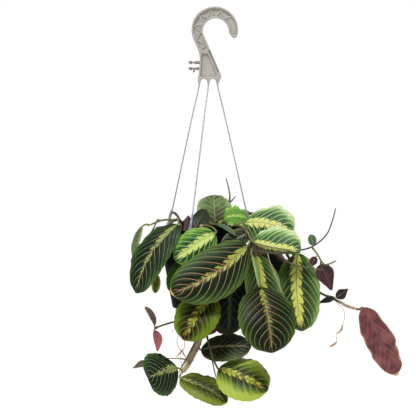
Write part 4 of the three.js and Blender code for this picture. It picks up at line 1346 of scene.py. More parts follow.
@dataclass
class Soil:
    """The potting mix: a lumpy bed with crumbs, bark and perlite on it."""

    fill_z: float = -325.0
    depth: float = 114.0
    hump: float = 4.0
    top_radius: float = 62.8
    base_radius: float = 43.6
    rings: int = 30

    # Each kind of litter: its name, count, range of sizes, thickness for its width and finish.
    LITTER = [
        ("soil_crumbs", 460, (0.8, 2.6), 0.7, Peat("soil_crumb", "22170f", "53402c")),
        ("soil_bark", 70, (1.5, 4.2), 0.35, Peat("soil_bark", "3d2818", "6e4d31")),
        ("soil_perlite", 90, (0.6, 1.6), 0.8, Peat("soil_perlite", "b9b4a8", "dedad0")),
    ]

    def surface(self, x: np.ndarray, y: np.ndarray) -> np.ndarray:
        """The bed's height.

        Args:
            x: Places measured from the pot's axis.
            y: The same, towards the back.

        Returns:
            The height at each place.
        """
        share = np.clip(np.hypot(x, y) / self.top_radius, 0.0, 1.0)
        waves = 1.9 * np.sin((x + POT_X) / 7.0 + 1.0) * np.cos(y / 6.0)
        lumps = np.sin(x / 1.9 + 2.0 * np.sin(y / 2.7)) * np.cos(y / 1.6 + np.sin(x / 3.1))
        rough = (waves + 0.5 * lumps) * smooth(1.0 - share, 0.0, 0.2)
        return self.fill_z + self.hump * (1.0 - share**2) + rough

    def bed(self) -> Piece:
        """Turns the bed and roughens its top.

        Returns:
            The bed.
        """
        low, high = -self.depth, self.fill_z - RIM_Z
        profile = [(0.0, low), (self.base_radius - 3.0, low), (self.base_radius, low + 3.0)]
        for k in range(self.rings + 1):
            profile.append((self.top_radius * (1.0 - k / self.rings), high + 0.01 * k))
        bed = Bench.lathe("soil_bed", profile, (POT_X, 0.0, RIM_Z), 120)
        spots = np.empty(len(bed.data.vertices) * 3)
        bed.data.vertices.foreach_get("co", spots)
        spots = spots.reshape(-1, 3)
        x, y, z = spots.T / MM
        top = z > self.fill_z - 0.5
        spots[top, 2] = self.surface(x[top] - POT_X, y[top]) * MM
        bed.data.vertices.foreach_set("co", spots.ravel())
        return bed

    def litter(
        self, name: str, count: int, size: Pair, flat: float, draw: np.random.Generator
    ) -> Piece:
        """Scatters one kind of crumb over the bed.

        Args:
            name: The litter's name.
            count: How many crumbs lie there.
            size: The smallest and largest crumb, in millimetres.
            flat: How thick a crumb is for its width.
            draw: The seeded source of chance.

        Returns:
            The crumbs as one piece.
        """
        Bench.pick()
        bpy.ops.mesh.primitive_ico_sphere_add(subdivisions=1, radius=1.0)
        first = bpy.context.object
        crumbs = [first]
        for _ in range(count - 1):
            crumb = first.copy()
            crumb.data = first.data.copy()
            bpy.context.collection.objects.link(crumb)
            crumbs.append(crumb)
        for crumb in crumbs:
            reach = (self.top_radius - 3.0) * math.sqrt(draw.random())
            angle = 2 * math.pi * draw.random()
            x, y = reach * math.cos(angle), reach * math.sin(angle)
            height = float(self.surface(np.array([x]), np.array([y]))[0])
            wide = draw.uniform(*size)
            crumb.location = Vector((POT_X + x, y, height + 0.25 * wide)) * MM
            crumb.scale = Vector((wide, wide * draw.uniform(0.5, 0.9), wide * flat)) * MM
            tilt = tuple(draw.uniform(-0.6, 0.6, 2))
            crumb.rotation_euler = Euler((*tilt, draw.uniform(0.0, 6.3)))
        litter = Bench.weld(name, crumbs)
        Bench.settle(litter, 30.0)
        return litter

    def build(self, palette: Palette) -> None:
        """Makes the bed and its litter and dresses them.

        Args:
            palette: Where the finishes come from.
        """
        draw = np.random.default_rng(SEED)
        bed = Bench.dress(self.bed(), palette.get(Peat("soil_peat", "1c130c", "4a3524")))
        Bench.settle(bed, 60.0)
        Bench.hand_over(bed, "soil", "soil")
        for *kind, finish in self.LITTER:
            litter = Bench.dress(self.litter(*kind, draw), palette.get(finish))
            Bench.hand_over(litter, "soil")


# ---- The plant ------------------------------------------------------------------------------


@dataclass(frozen=True)
class Branch:
    """One branch of a stem: its points from root to tip, the radius at both ends, its skin."""

    points: list[Point]
    radius: Pair
    skin: Skin = Skin.OLIVE

    NODE_GAP = 26.0
    NODE_HALF = 1.6
    TIP_SHARE = 0.45
    STEP = 2.5
    SIDES = 12

    def build(self, name: str, palette: Palette) -> Piece:
        """Grows the branch with a swollen ring at every node.

        Args:
            name: The branch's name.
            palette: Where the finishes come from.

        Returns:
            The branch.
        """
        path = Path(self.points)
        share = np.linspace(0.0, 1.0, max(6, round(path.length / self.STEP)) + 1)
        reach = share * path.length
        off_node = (reach + 0.4 * self.NODE_GAP) % self.NODE_GAP - 0.5 * self.NODE_GAP
        ring = np.exp(-((off_node / self.NODE_HALF) ** 2))
        sheath = np.clip(off_node / self.NODE_GAP, 0.0, 1.0) * (off_node > 0)
        radii = self.radius[0] + (self.radius[1] - self.radius[0]) * share
        radii = radii * (0.9 + 0.2 * ring + 0.1 * sheath)
        radii[-1] *= self.TIP_SHARE
        branch = Bench.tube(name, path.at(share), radii, self.SIDES)
        return Bench.dress(branch, palette.get(self.skin))


# Points run from root to tip; the first branch of a stem stands in the soil.
STEMS = {
    "stem_crown": [
        Branch([(-2, 8, -338), (-2, 6, -317), (4, -2, -299), (8, -6, -286)], (2.4, 1.6)),
        Branch(
            [(4, -3, -295), (15, -6, -284), (21, -8, -268), (19, -8, -252), (15, -7, -237)],
            (2.2, 0.7),
            Skin.SPEAR,
        ),
        Branch([(19, -8, -275), (24, -9, -271), (30, -10, -264)], (1.4, 0.7), Skin.SPEAR),
    ],
    "stem_left": [
        Branch(
            [(-40, -14, -340), (-45, -32, -309), (-58, -54, -297), (-74, -66, -312), (-84, -67, -345),
             (-87, -64, -371)],
            (2.6, 1.5),
        ),
        Branch([(-58, -54, -297), (-78, -46, -298), (-98, -38, -306)], (1.8, 1.2), Skin.GREEN),
    ],
    "stem_front": [
        Branch(
            [(8, -20, -341), (20, -40, -311), (35, -60, -306), (46, -74, -317), (52, -80, -336),
             (54, -86, -350)],
            (2.6, 1.6),
        ),
        Branch(
            [(52, -77, -334), (58, -98, -338), (73, -110, -340), (92, -112, -340), (113, -102, -338),
             (138, -84, -333), (158, -78, -317), (166, -75, -300), (172, -72, -279)],
            (1.9, 0.8),
            Skin.RUNNER,
        ),
        Branch([(87, -112, -341), (108, -106, -357), (130, -102, -362), (151, -101, -365)], (1.4, 1.1)),
        Branch(
            [(137, -84, -334), (145, -87, -345), (154, -95, -358), (171, -92, -353)],
            (1.6, 1.2),
            Skin.GREEN,
        ),
    ],
    "stem_right": [
        Branch(
            [(24, 8, -338), (44, -4, -305), (66, -14, -294), (88, -24, -315), (98, -32, -343)],
            (2.5, 1.5),
        ),
    ],
    "stem_far_right": [
        Branch(
            [(14, 26, -337), (38, 40, -298), (66, 32, -295), (98, 6, -336), (129, -20, -390),
             (155, -30, -407), (175, -32, -416), (191, -31, -425), (213, -30, -432)],
            (2.6, 1.8),
            Skin.RUNNER,
        ),
    ],
    "stem_low": [
        Branch(
            [(-24, -26, -341), (-22, -50, -311), (-21, -73, -306), (-20, -79, -320), (-18, -74, -350),
             (-17, -72, -390), (-18, -68, -438), (-24, -66, -473), (-36, -66, -499), (-48, -66, -518)],
            (2.4, 4),
            Skin.SHEATH,
        ),
        Branch(
            [(-18, -68, -438), (-13, -76, -464), (-7, -84, -485), (-2, -84, -500), (3, -79, -511)],
            (1.8, 1.5),
        ),
        Branch(
            [(-18, -68, -434), (-40, -64, -442), (-62, -64, -445), (-88, -66, -453)],
            (1.8, 1.3),
            Skin.RUNNER,
        ),
        Branch([(-7, -84, -485), (-4, -83, -505), (0, -80, -523)], (1.3, 0.8)),
    ],
    "stem_back_left": [
        Branch(
            [(-46, 22, -337), (-58, 46, -298), (-70, 74, -296), (-74, 84, -335), (-70, 84, -384)],
            (2.5, 1.5),
        ),
    ],
    "stem_back": [
        Branch(
            [(-14, 34, -336), (-12, 58, -295), (-10, 86, -295), (-8, 94, -344), (-6, 92, -413)],
            (2.5, 1.5),
        ),
    ],
    "stem_back_right": [
        Branch([(8, 44, -336), (26, 62, -295), (48, 76, -298), (62, 80, -345), (64, 78, -405)], (2.5, 1.5)),
    ],
}


@dataclass(frozen=True)
class Leaf:
    """One leaf: a quilted blade on a stalk.

    It leaves its stem's branch at a share of the branch's length. heel and tip are the ends of
    its midrib and face is the side that its upper surface looks to. fold lifts the halves from
    the midrib and curl turns their margins down, in degrees, once or as left and right of a
    leaf that hangs with its face to the viewer. bow arches the midrib towards the face, sway
    bends it to the right and lift raises the stalk. veins is how many pairs of side veins it
    has, ruffle the height of the waves in its margin, wear how dry its edges are and taper how
    much it narrows towards its tip. A small leaf has no node of its own in the frame.
    """

    name: str
    stem: str
    at: float
    heel: Point
    tip: Point
    face: Point
    width: float
    coat: Coat
    under: Under
    veins: float
    branch: int = 0
    fold: float | Pair = 8.0
    curl: float | Pair = 30.0
    bow: float = 8.0
    sway: float = 0.0
    lift: float = 0.3
    ruffle: float = 0.7
    wear: float = 0.25
    taper: float = 0.0
    stalk: Skin = Skin.STALK
    small: bool = False

    HEEL_HALF = 0.9
    TIP_HALF = 0.4
    THICKNESS = 0.5
    LEAST_BEND = 0.8
    SHEATH_RADIUS = 1.9
    STALK_RADIUS = 1.1
    LEAD = 0.3
    GRIP = 0.05
    RIB_END = 0.82
    GRID = (92, 32)
    SMALL_GRID = (44, 16)
    SMALL_STALK = 0.62
    BRIGHT = (Coat.BRIGHT, Coat.FRESH, Coat.YOUNG)

    @property
    def chance(self) -> float:
        """A number from 0 to 6.28 that differs from leaf to leaf."""
        return sum(ord(letter) * (k + 3) for k, letter in enumerate(self.name)) % 628 / 100

    def axes(self) -> tuple[np.ndarray, np.ndarray, np.ndarray, np.ndarray]:
        """The blade's own axes.

        Returns:
            The heel, the chord to the tip, the way that the face looks and the way to its right.
        """
        heel, face = np.array(self.heel), np.array(self.face)
        chord = np.array(self.tip) - heel
        axis = unit(chord)
        up = unit(face - axis * face.dot(axis))
        return heel, chord, up, np.cross(up, axis)

    def half_width(self, along: np.ndarray) -> np.ndarray:
        """The blade's half width: an oval that ends in a short point.

        Args:
            along: Shares of the midrib's length.

        Returns:
            The half width at each share.
        """
        oval = (4 * along * (1 - along)) ** (0.48 + 0.05 * along)
        point = 1.0 - 0.3 * smooth(along, 0.93, 0.995)
        point = point * (1.0 - self.taper * smooth(along, 0.3, 1.0))
        least = self.HEEL_HALF + (self.TIP_HALF - self.HEEL_HALF) * along
        return np.maximum(least, self.width / 2 * oval * point)

    def midrib(self, along: np.ndarray) -> np.ndarray:
        """The midrib, which arches and sways.

        Args:
            along: Shares of its length.

        Returns:
            A row for each point.
        """
        heel, chord, up, side = self.axes()
        along = np.atleast_1d(along)[:, None]
        arch = 4 * along * (1 - along)
        return heel + chord * along + (up * self.bow + side * self.sway) * arch

    def surface(self, along: np.ndarray, across: np.ndarray) -> np.ndarray:
        """The blade's middle surface.

        Args:
            along: Shares of the midrib's length.
            across: Places across, from -1 at the left margin to 1 at the right one.

        Returns:
            A row for each point.
        """
        _, _, up, side = self.axes()
        pairs = (np.broadcast_to(pair, 2) for pair in (self.fold, self.curl))
        fold, curl = (np.radians(np.where(across < 0, *pair)) for pair in pairs)
        half = self.half_width(along)
        lobes = 1.0 + 0.014 * np.cos(2 * np.pi * self.phase(along, across)) * across**4
        lobes = lobes - 0.11 * self.wear**2 * self.patches(along, across) * across**6
        radius = np.maximum(half / curl, self.LEAST_BEND)
        bend = fold - np.abs(across) * half * lobes / radius
        sideways = np.sign(across) * radius * (np.sin(fold) - np.sin(bend))
        rise = radius * (np.cos(bend) - np.cos(fold))
        return self.midrib(along) + side * sideways[:, None] + up * rise[:, None]

    def phase(self, along: np.ndarray, across: np.ndarray) -> np.ndarray:
        """Where points lie between the side veins.

        Args:
            along: Shares of the midrib's length.
            across: Places across, from -1 to 1.

        Returns:
            Numbers that are whole on a vein.
        """
        reach = np.abs(across)
        slant = 0.26 * reach + 0.2 * reach**3
        return self.veins * (along - slant) + HALF_OFFSET * (across > 0)

    def relief(self, along: np.ndarray, across: np.ndarray) -> np.ndarray:
        """How far the blade stands out from its middle surface, towards its face.

        Args:
            along: Shares of the midrib's length.
            across: Places across, from -1 to 1.

        Returns:
            The height at each place, in millimetres.
        """
        reach, phase = np.abs(across), self.phase(along, across)
        inner = smooth(reach, 0.03, 0.2) * smooth(1 - reach, 0.0, 0.2) * smooth(1 - along, 0.0, 0.1)
        quilt = 1.05 * np.abs(np.sin(np.pi * phase)) ** 0.7 * inner
        pleat = 0.09 * np.cos(8 * np.pi * phase) * inner
        groove = -0.55 * np.exp(-((reach * self.half_width(along) / 1.1) ** 2))
        groove = groove * smooth(1 - along, 0.0, 0.2)
        turn = self.chance + (across > 0) * 2.1
        wave = np.sin(2 * np.pi * 2.6 * along + turn) + 0.4 * np.sin(2 * np.pi * 6.1 * along + 3 * turn)
        dents = 0.5 * np.sin(5 * along + turn) * np.sin(4 * reach + 2 * turn)
        wrinkles = 0.35 * np.sin(15 * along + turn) * np.sin(10 * reach + 2 * turn)
        ends = smooth(along, 0.0, 0.15) * smooth(1 - along, 0.0, 0.12)
        loose = self.ruffle * wave * reach**3 + (dents + self.ruffle * wrinkles) * reach
        return self.width / 70 * (quilt + pleat + groove + loose * ends)

    def patches(self, along: np.ndarray, across: np.ndarray) -> np.ndarray:
        """Where along its margin the blade dries first, from 0 to 1."""
        turn = self.chance + (across > 0) * 2.7
        return 0.5 + 0.5 * np.sin(9 * along + turn) * np.sin(23 * along + 2 * turn)

    def dryness(self, along: np.ndarray, across: np.ndarray) -> np.ndarray:
        """How dry the blade is, from 0 to about 1: most at its tip and along its margin."""
        margin = smooth(np.abs(across), 0.9 - 0.3 * self.wear, 1.0) * self.patches(along, across)
        return self.wear * (1.7 * smooth(along, 0.94, 1.0) + 1.1 * margin)

    def blade(self, palette: Palette) -> Piece:
        """Shapes a grid into the blade and gives it its thickness.

        Args:
            palette: Where the finishes come from.

        Returns:
            The blade, with its two faces in two materials.
        """
        lengthwise, crosswise = self.SMALL_GRID if self.small else self.GRID
        Bench.pick()
        bpy.ops.mesh.primitive_grid_add(
            x_subdivisions=crosswise, y_subdivisions=lengthwise, size=2.0, calc_uvs=True
        )
        blade = bpy.context.object
        mesh = blade.data
        grid = np.empty(len(mesh.vertices) * 3)
        mesh.vertices.foreach_get("co", grid)
        grid = grid.reshape(-1, 3)
        along = (1 - np.cos(np.pi * np.clip((grid[:, 1] + 1) / 2, 0, 1))) / 2
        across = -np.sign(grid[:, 0]) * np.abs(grid[:, 0]) ** 1.2
        across[np.abs(across) < 1e-4] = 0.0
        nudge = 1e-3
        ahead = self.surface(np.minimum(along + nudge, 1), across)
        back = self.surface(np.maximum(along - nudge, 0), across)
        right = self.surface(along, np.minimum(across + nudge, 1))
        left = self.surface(along, np.maximum(across - nudge, -1))
        normal = unit(np.cross(ahead - back, right - left))
        spots = self.surface(along, across) + normal * self.relief(along, across)[:, None]
        mesh.vertices.foreach_set("co", (spots * MM).ravel())
        self.map(mesh, along, across)
        Bench.dress(blade, palette.get(self.coat), palette.get(self.under))
        Bench.modify(
            blade, "SOLIDIFY", thickness=self.THICKNESS * MM, offset=0.0, material_offset=1,
            material_offset_rim=1, use_even_offset=False,
        )
        return blade

    def map(self, mesh: bpy.types.Mesh, along: np.ndarray, across: np.ndarray) -> None:
        """Writes the places along and across, the vein phase and the dryness as UV layers.

        Args:
            mesh: The blade's mesh.
            along: Each vertex's share of the length.
            across: Each vertex's place across, from -1 to 1.
        """
        corners = np.empty(len(mesh.loops), int)
        mesh.loops.foreach_get("vertex_index", corners)
        plain = self.phase(along, -np.abs(across))
        layers = {
            "blade": np.column_stack([along, (across + 1) / 2]),
            "pattern": np.column_stack([plain, self.dryness(along, across)]),
        }
        mesh.uv_layers[0].name = "blade"
        mesh.uv_layers.new(name="pattern")
        for name, values in layers.items():
            mesh.uv_layers[name].data.foreach_set("uv", values[corners].ravel())

    def stalk_and_keel(self, palette: Palette) -> Piece:
        """Runs the stalk from its sheath into the blade, where it becomes the midrib's keel.

        Args:
            palette: Where the finishes come from.

        Returns:
            The stalk.
        """
        root = Path(STEMS[self.stem][self.branch].points).at(self.at)
        heel, _, up, _ = self.axes()
        span = float(np.linalg.norm(heel - root))
        rise = root + (heel - root) * self.LEAD + np.array([0.0, 0.0, self.lift * span])
        arrive = heel - unit(self.midrib(self.GRIP)[0] - heel) * self.LEAD * span
        free = bezier([root, rise, arrive, heel], 24)
        keel = np.linspace(0.0, self.RIB_END, 16)[1:]
        share = np.linspace(0.0, 1.0, len(free))
        radii = self.SHEATH_RADIUS - (self.SHEATH_RADIUS - self.STALK_RADIUS) * smooth(share, 0.05, 0.45)
        swell = np.exp(-(((1 - share) * span - 5.0) / 3.2) ** 2)
        radii = radii * (1 + 0.28 * swell * min(1.0, span / 20))
        slim = self.STALK_RADIUS * (1 - 0.72 * keel / self.RIB_END) * min(1.0, 0.55 + self.width / 90)
        below = self.midrib(keel) - up * (slim * 0.95 + 0.1)[:, None]
        radii = np.concatenate([radii, slim]) * (self.SMALL_STALK if self.small else 1.0)
        stalk = Bench.tube("stalk", np.vstack([free, below]), radii, 10)
        return Bench.dress(stalk, palette.get(self.stalk))

    def build(self, palette: Palette) -> None:
        """Grows the leaf, to stand for its node where it has one.

        Args:
            palette: Where the finishes come from.
        """
        name = self.name if self.small else f"{self.name}_grown"
        leaf = Bench.weld(name, [self.blade(palette), self.stalk_and_keel(palette)])
        Bench.settle(leaf, 45.0)
        slot = "leaf_bright" if self.coat in self.BRIGHT else "leaf_dark"
        Bench.hand_over(leaf, slot, *([] if self.small else [self.name]))


LEAVES = [
    # Left of the pot
    Leaf(
        "leaf_left_large", "stem_left", 0.42, (-56, -72, -303), (-114, -92, -399), (-0.5, -0.82, 0.2), 57,
        Coat.DUSK, Under.PLUM, 9, sway=-8, ruffle=1.2,
    ),
    Leaf(
        "leaf_left_inner", "stem_low", 0.16, (-2, -84, -315), (-59, -90, -352), (0, -0.92, 0.35), 52,
        Coat.FRESH, Under.WINE, 7, fold=6, curl=24, bow=3, ruffle=1.4,
    ),
    Leaf(
        "leaf_left_edge", "stem_left", 1, (-108, -38, -308), (-119, -48, -356), (-0.9, -0.36, 0.2), 34,
        Coat.SPOTTED, Under.DUSTY, 6, branch=1, fold=14, curl=20, bow=3,
    ),
    Leaf(
        "leaf_side_left", "stem_left", 0.6, (-96, -14, -318), (-112, 2, -388), (-0.95, 0.1, 0.3), 54,
        Coat.DARK, Under.WINE, 8, branch=1,
    ),
    Leaf(
        "leaf_left_hidden", "stem_left", 0.6, (-50, -74, -356), (-65, -76, -400), (-0.3, -0.9, 0.1), 26,
        Coat.PLAIN, Under.PLUM, 6, fold=12, curl=20, bow=2,
    ),
    Leaf(
        "leaf_crown_folded", "stem_left", 0.2, (-47, -44, -318), (-40, -48, -291), (0.5, 0.85, 0), 26,
        Coat.SMOKE, Under.LILAC, 6, fold=24, curl=10, bow=2, lift=0, taper=0.6, small=True,
    ),
    Leaf(
        "leaf_left_tip", "stem_left", 1, (-87, -64, -375), (-88, -70, -402), (0.2, -0.9, 0.1), 14,
        Coat.LIME, Under.SLATE, 5, fold=24, curl=20, bow=2, small=True,
    ),
    # Crown
    Leaf(
        "leaf_crown_round", "stem_crown", 0.5, (-1, -18, -302), (-4, 2, -263), (0, -0.9, 0.35), 52,
        Coat.SPOTTED, Under.MAUVE, 6, fold=6, curl=24, bow=6, ruffle=1.5,
    ),
    Leaf(
        "leaf_crown_shade", "stem_left", 0.18, (-34, -38, -316), (-15, -28, -283), (0.3, 0.9, 0.1), 26,
        Coat.SMOKE, Under.SLATE, 6, fold=14, curl=20, bow=3, lift=0,
    ),
    Leaf(
        "leaf_crown_young", "stem_right", 0.44, (47, -22, -297), (12, -28, -296), (0, -0.75, 0.65), 40,
        Coat.YOUNG, Under.MAUVE, 6, fold=16, curl=40, bow=6, ruffle=3.2,
    ),
    Leaf(
        "leaf_crown_low", "stem_front", 0.55, (49, -66, -314), (8, -80, -334), (0, -0.95, 0.3), 28,
        Coat.NIGHT, Under.PLUM, 6, fold=10, curl=24, bow=3,
    ),
    Leaf(
        "leaf_crown_blade", "stem_crown", 0.35, (-4, -40, -305), (27, -84, -318), (0.1, -0.4, 0.9), 12,
        Coat.SAGE, Under.SLATE, 5, fold=34, curl=10, bow=3, small=True,
    ),
    Leaf(
        "leaf_crown_back_left", "stem_left", 0.23, (-30, 12, -312), (-34, 50, -306), (-0.2, 0.1, 0.95), 34,
        Coat.DARK, Under.WINE, 7, curl=24, bow=4,
    ),
    Leaf(
        "leaf_crown_back_right", "stem_crown", 0.42, (4, 19, -309), (8, 54, -302), (0.1, -0.1, 0.95), 40,
        Coat.GREEN, Under.WINE, 7, curl=24, bow=4,
    ),
    # Right of the pot
    Leaf(
        "leaf_right_upper", "stem_front", 0.45, (43, -50, -301), (110, -82, -316), (0.1, -0.85, 0.5), 74,
        Coat.BRIGHT, Under.WINE, 8, fold=(-25, 6), curl=(40, 30), bow=6, sway=4, ruffle=1.8,
    ),
    Leaf(
        "leaf_right_middle", "stem_front", 0.66, (54, -84, -327), (119, -110, -336), (0, -0.9, 0.45), 70,
        Coat.BRIGHT, Under.WINE, 8, fold=(-75, 6), curl=(66, 24), bow=6, sway=-5, ruffle=1.6,
    ),
    Leaf(
        "leaf_right_large", "stem_right", 0.8, (118, -62, -346), (122, -96, -453), (0.15, -0.95, 0.25), 74,
        Coat.GREEN, Under.WINE, 9, fold=(-40, 6), curl=(10, 32), sway=-6,
    ),
    # Its SHADE coat is painted shade.
    Leaf(
        "leaf_right_shade", "stem_right", 0.95, (71, -36, -349), (105, -38, -411), (0.1, -0.95, 0.2), 42,
        Coat.SHADE, Under.PLUM, 7, fold=10, bow=4,
    ),
    Leaf(
        "leaf_right_maroon", "stem_front", 0.5, (149, -88, -359), (166, -82, -397), (0.1, 0.95, 0.1), 29,
        Coat.DARK, Under.MAROON, 6, branch=3, fold=24, curl=24, bow=4, lift=0, taper=0.6,
        stalk=Skin.FLUSHED,
    ),
    Leaf(
        "leaf_side_right_top", "stem_right", 0.5, (80, 6, -291), (112, 28, -335), (0.6, 0.3, 0.7), 58,
        Coat.DARK, Under.WINE, 8,
    ),
    Leaf(
        "leaf_side_right_low", "stem_right", 0.9, (112, -20, -348), (136, 14, -400), (0.8, 0.1, 0.4), 52,
        Coat.GREEN, Under.WINE, 8,
    ),
    Leaf(
        "leaf_right_tip", "stem_front", 0.02, (139, -85, -331), (134, -88, -316), (0.2, -0.9, 0.1), 13,
        Coat.SAGE, Under.SLATE, 5, branch=3, fold=10, curl=10, bow=1, lift=0, small=True,
    ),
    Leaf(
        "leaf_right_shoot", "stem_front", 0.3, (142, -87, -348), (136, -86, -360), (0.1, 0.95, 0.1), 12,
        Coat.SMOKE, Under.MAROON, 5, branch=3, fold=20, curl=10, bow=1, lift=0, small=True,
    ),
    Leaf(
        "leaf_side_right_back", "stem_back_right", 0.3, (66, 46, -300), (98, 34, -352), (0.8, 0.3, 0.5), 48,
        Coat.BRIGHT, Under.WINE, 7,
    ),
    # Far right
    Leaf(
        "leaf_far_right_large", "stem_far_right", 1, (218, -32, -429), (267.5, -42, -527.5),
        (-0.1, 0.95, -0.1), 47, Coat.OLIVE, Under.DUSTY, 8, fold=26, curl=20, bow=-6, lift=0.5,
        ruffle=3.4, wear=0.9, stalk=Skin.FLUSHED,
    ),
    Leaf(
        "leaf_far_right_small", "stem_far_right", 0.8, (174, -38, -413), (150, -46, -420), (0, -0.9, 0.3), 10,
        Coat.SMOKE, Under.SLATE, 5, fold=10, curl=10, bow=2, lift=0, taper=0.6, small=True,
    ),
    Leaf(
        "leaf_far_right_upper", "stem_far_right", 0.82, (177, -37, -413), (194, -44, -399),
        (0.2, 0.9, 0.2), 18, Coat.SMOKE, Under.PLUM, 5, fold=(50, 10), curl=10, bow=0, lift=0,
        taper=0.7, small=True,
    ),
    # Front
    Leaf(
        "leaf_front_large", "stem_front", 0.8, (44, -94, -332), (-63, -122, -396), (-0.05, -0.95, 0.25), 76,
        Coat.DARK, Under.WINE, 9, curl=36, wear=0.42, sway=9,
    ),
    Leaf(
        "leaf_front_band", "stem_front", 0.86, (58, -76, -347), (76, -84, -436), (0.1, -0.95, 0.15), 52,
        Coat.GREEN, Under.WINE, 9, bow=4,
    ),
    Leaf(
        "leaf_front_rolled", "stem_front", 0.9, (50, -104, -344), (60, -110, -389), (-0.6, -0.8, 0), 18,
        Coat.PALE, Under.SLATE, 6, fold=-30, curl=105, bow=0,
    ),
    Leaf(
        "leaf_front_low", "stem_front", 1, (63, -102, -391), (77, -146.2, -475), (0.1, -0.85, 0.5), 84,
        Coat.DEEP, Under.WINE, 9, curl=34, bow=14, lift=-0.1,
    ),
    # Its SHADE coat is painted shade.
    Leaf(
        "leaf_front_shade", "stem_low", 0.3, (22, -68, -361), (18, -82, -461), (0, -0.95, 0.25), 56,
        Coat.SHADE, Under.PLUM, 8, bow=4, lift=0,
    ),
    # Below the pot
    Leaf(
        "leaf_low_yellow", "stem_low", 0.6, (-6, -88, -404), (-46, -112, -463), (-0.2, -0.85, 0.5), 66,
        Coat.YELLOW, Under.WINE, 8, bow=10,
    ),
    Leaf(
        "leaf_low_left_upper", "stem_low", 1, (-89, -66, -449), (-103, -70, -422), (0.6, 0.7, 0.2), 14,
        Coat.SMOKE, Under.MAUVE, 5, branch=2, fold=30, curl=20, bow=2, lift=0, stalk=Skin.FLUSHED,
    ),
    Leaf(
        "leaf_low_left_lower", "stem_low", 0.95, (-89, -72, -456), (-85, -76, -486), (0.5, 0.8, 0.2), 18,
        Coat.SMOKE, Under.ROSE, 5, branch=2, fold=30, curl=20, bow=3, lift=0, taper=0.5, stalk=Skin.FLUSHED,
    ),
    Leaf(
        "leaf_low_left", "stem_low", 1, (-57, -70, -511), (-97, -104, -519), (0.1, -0.7, 0.6), 72,
        Coat.DUSK, Under.MAUVE, 8, fold=(12, -26), curl=30, bow=4, wear=0.15,
    ),
    Leaf(
        "leaf_low_olive", "stem_low", 0.97, (-51, -76, -525), (16, -98, -555.5), (0.1, -0.5, 0.85), 46,
        Coat.OLIVE, Under.DUSTY, 8, fold=(2, 20), bow=6, ruffle=2.0, wear=0.45,
    ),
    Leaf(
        "leaf_low_right", "stem_low", 1, (5, -76, -511), (73, -108, -536), (0, -0.75, 0.65), 72,
        Coat.LIME, Under.WINE, 8, branch=1, fold=6, curl=28, bow=6,
    ),
    Leaf(
        "leaf_low_dark", "stem_low", 0.76, (-21, -56, -487), (51, -76, -479), (0, -0.75, 0.65), 48,
        Coat.NIGHT, Under.PLUM, 8, bow=5,
    ),
    Leaf(
        "leaf_low_left_tip", "stem_low", 0.93, (-100, -46, -507), (-122, -46, -516), (0, 0.9, 0.3), 12,
        Coat.SAGE, Under.MAUVE, 5, fold=24, curl=10, bow=1, lift=0.1, taper=0.6, small=True,
    ),
    # Back of the pot
    Leaf(
        "leaf_back_left_top", "stem_back_left", 0.45, (-74, 60, -318), (-99, 66, -380), (-0.6, 0.7, 0.3), 50,
        Coat.GREEN, Under.WINE, 8,
    ),
    Leaf(
        "leaf_back_left_middle", "stem_back_left", 0.7, (-53, 92, -348), (-44, 108, -436),
        (-0.3, 0.9, 0.2), 48, Coat.DARK, Under.WINE, 8,
    ),
    Leaf(
        "leaf_back_left_low", "stem_back_left", 1, (-40, 80, -404), (-30, 74, -479), (-0.5, 0.8, -0.1), 44,
        Coat.DUSK, Under.WINE, 8, bow=6,
    ),
    Leaf(
        "leaf_back_top", "stem_back", 0.35, (-15, 88, -327), (-50, 116, -376), (-0.2, 0.8, 0.6), 56,
        Coat.BRIGHT, Under.WINE, 8,
    ),
    Leaf(
        "leaf_back_middle", "stem_back", 0.55, (2, 104, -320), (-10, 130.6, -407), (0, 0.95, 0.3), 70,
        Coat.DARK, Under.WINE, 9,
    ),
    Leaf(
        "leaf_back_low_left", "stem_back", 0.8, (-2, 98, -419), (-12, 104, -492), (-0.2, 0.95, 0.2), 50,
        Coat.GREEN, Under.WINE, 8,
    ),
    Leaf(
        "leaf_back_low", "stem_back", 1, (2, 84, -422), (20, 66, -484), (0.1, 0.95, 0.1), 48,
        Coat.DUSK, Under.WINE, 8, bow=6,
    ),
    Leaf(
        "leaf_back_right_top", "stem_back_right", 0.42, (66, 66, -314), (104, 72, -355), (0.5, 0.6, 0.6), 54,
        Coat.GREEN, Under.WINE, 8,
    ),
    Leaf(
        "leaf_back_right_middle", "stem_back_right", 0.65, (70, 94, -336), (89, 116, -414),
        (0.4, 0.9, 0.2), 66, Coat.DARK, Under.WINE, 9,
    ),
    Leaf(
        "leaf_back_right_low", "stem_back_right", 1, (68, 76, -414), (79, 52, -473), (0.7, 0.6, -0.1), 46,
        Coat.LIME, Under.WINE, 8, bow=6,
    ),
]


@dataclass
class Plant:
    """Every stem and every leaf."""

    stems: dict[str, list[Branch]]
    leaves: list[Leaf]

    def stem(self, name: str, branches: list[Branch], palette: Palette) -> None:
        """Grows one stem with its branches.

        Args:
            name: The stem's node.
            branches: Its branches, the one in the soil first.
            palette: Where the finishes come from.
        """
        parts = [branch.build("branch", palette) for branch in branches]
        grown = Bench.weld(f"{name}_grown", parts)
        Bench.settle(grown, 60.0)
        Bench.hand_over(grown, "stem", name)

    def build(self, palette: Palette) -> None:
        """Grows the whole plant.

        Args:
            palette: Where the finishes come from.
        """
        for name, branches in self.stems.items():
            self.stem(name, branches, palette)
        for leaf in self.leaves:
            leaf.build(palette)


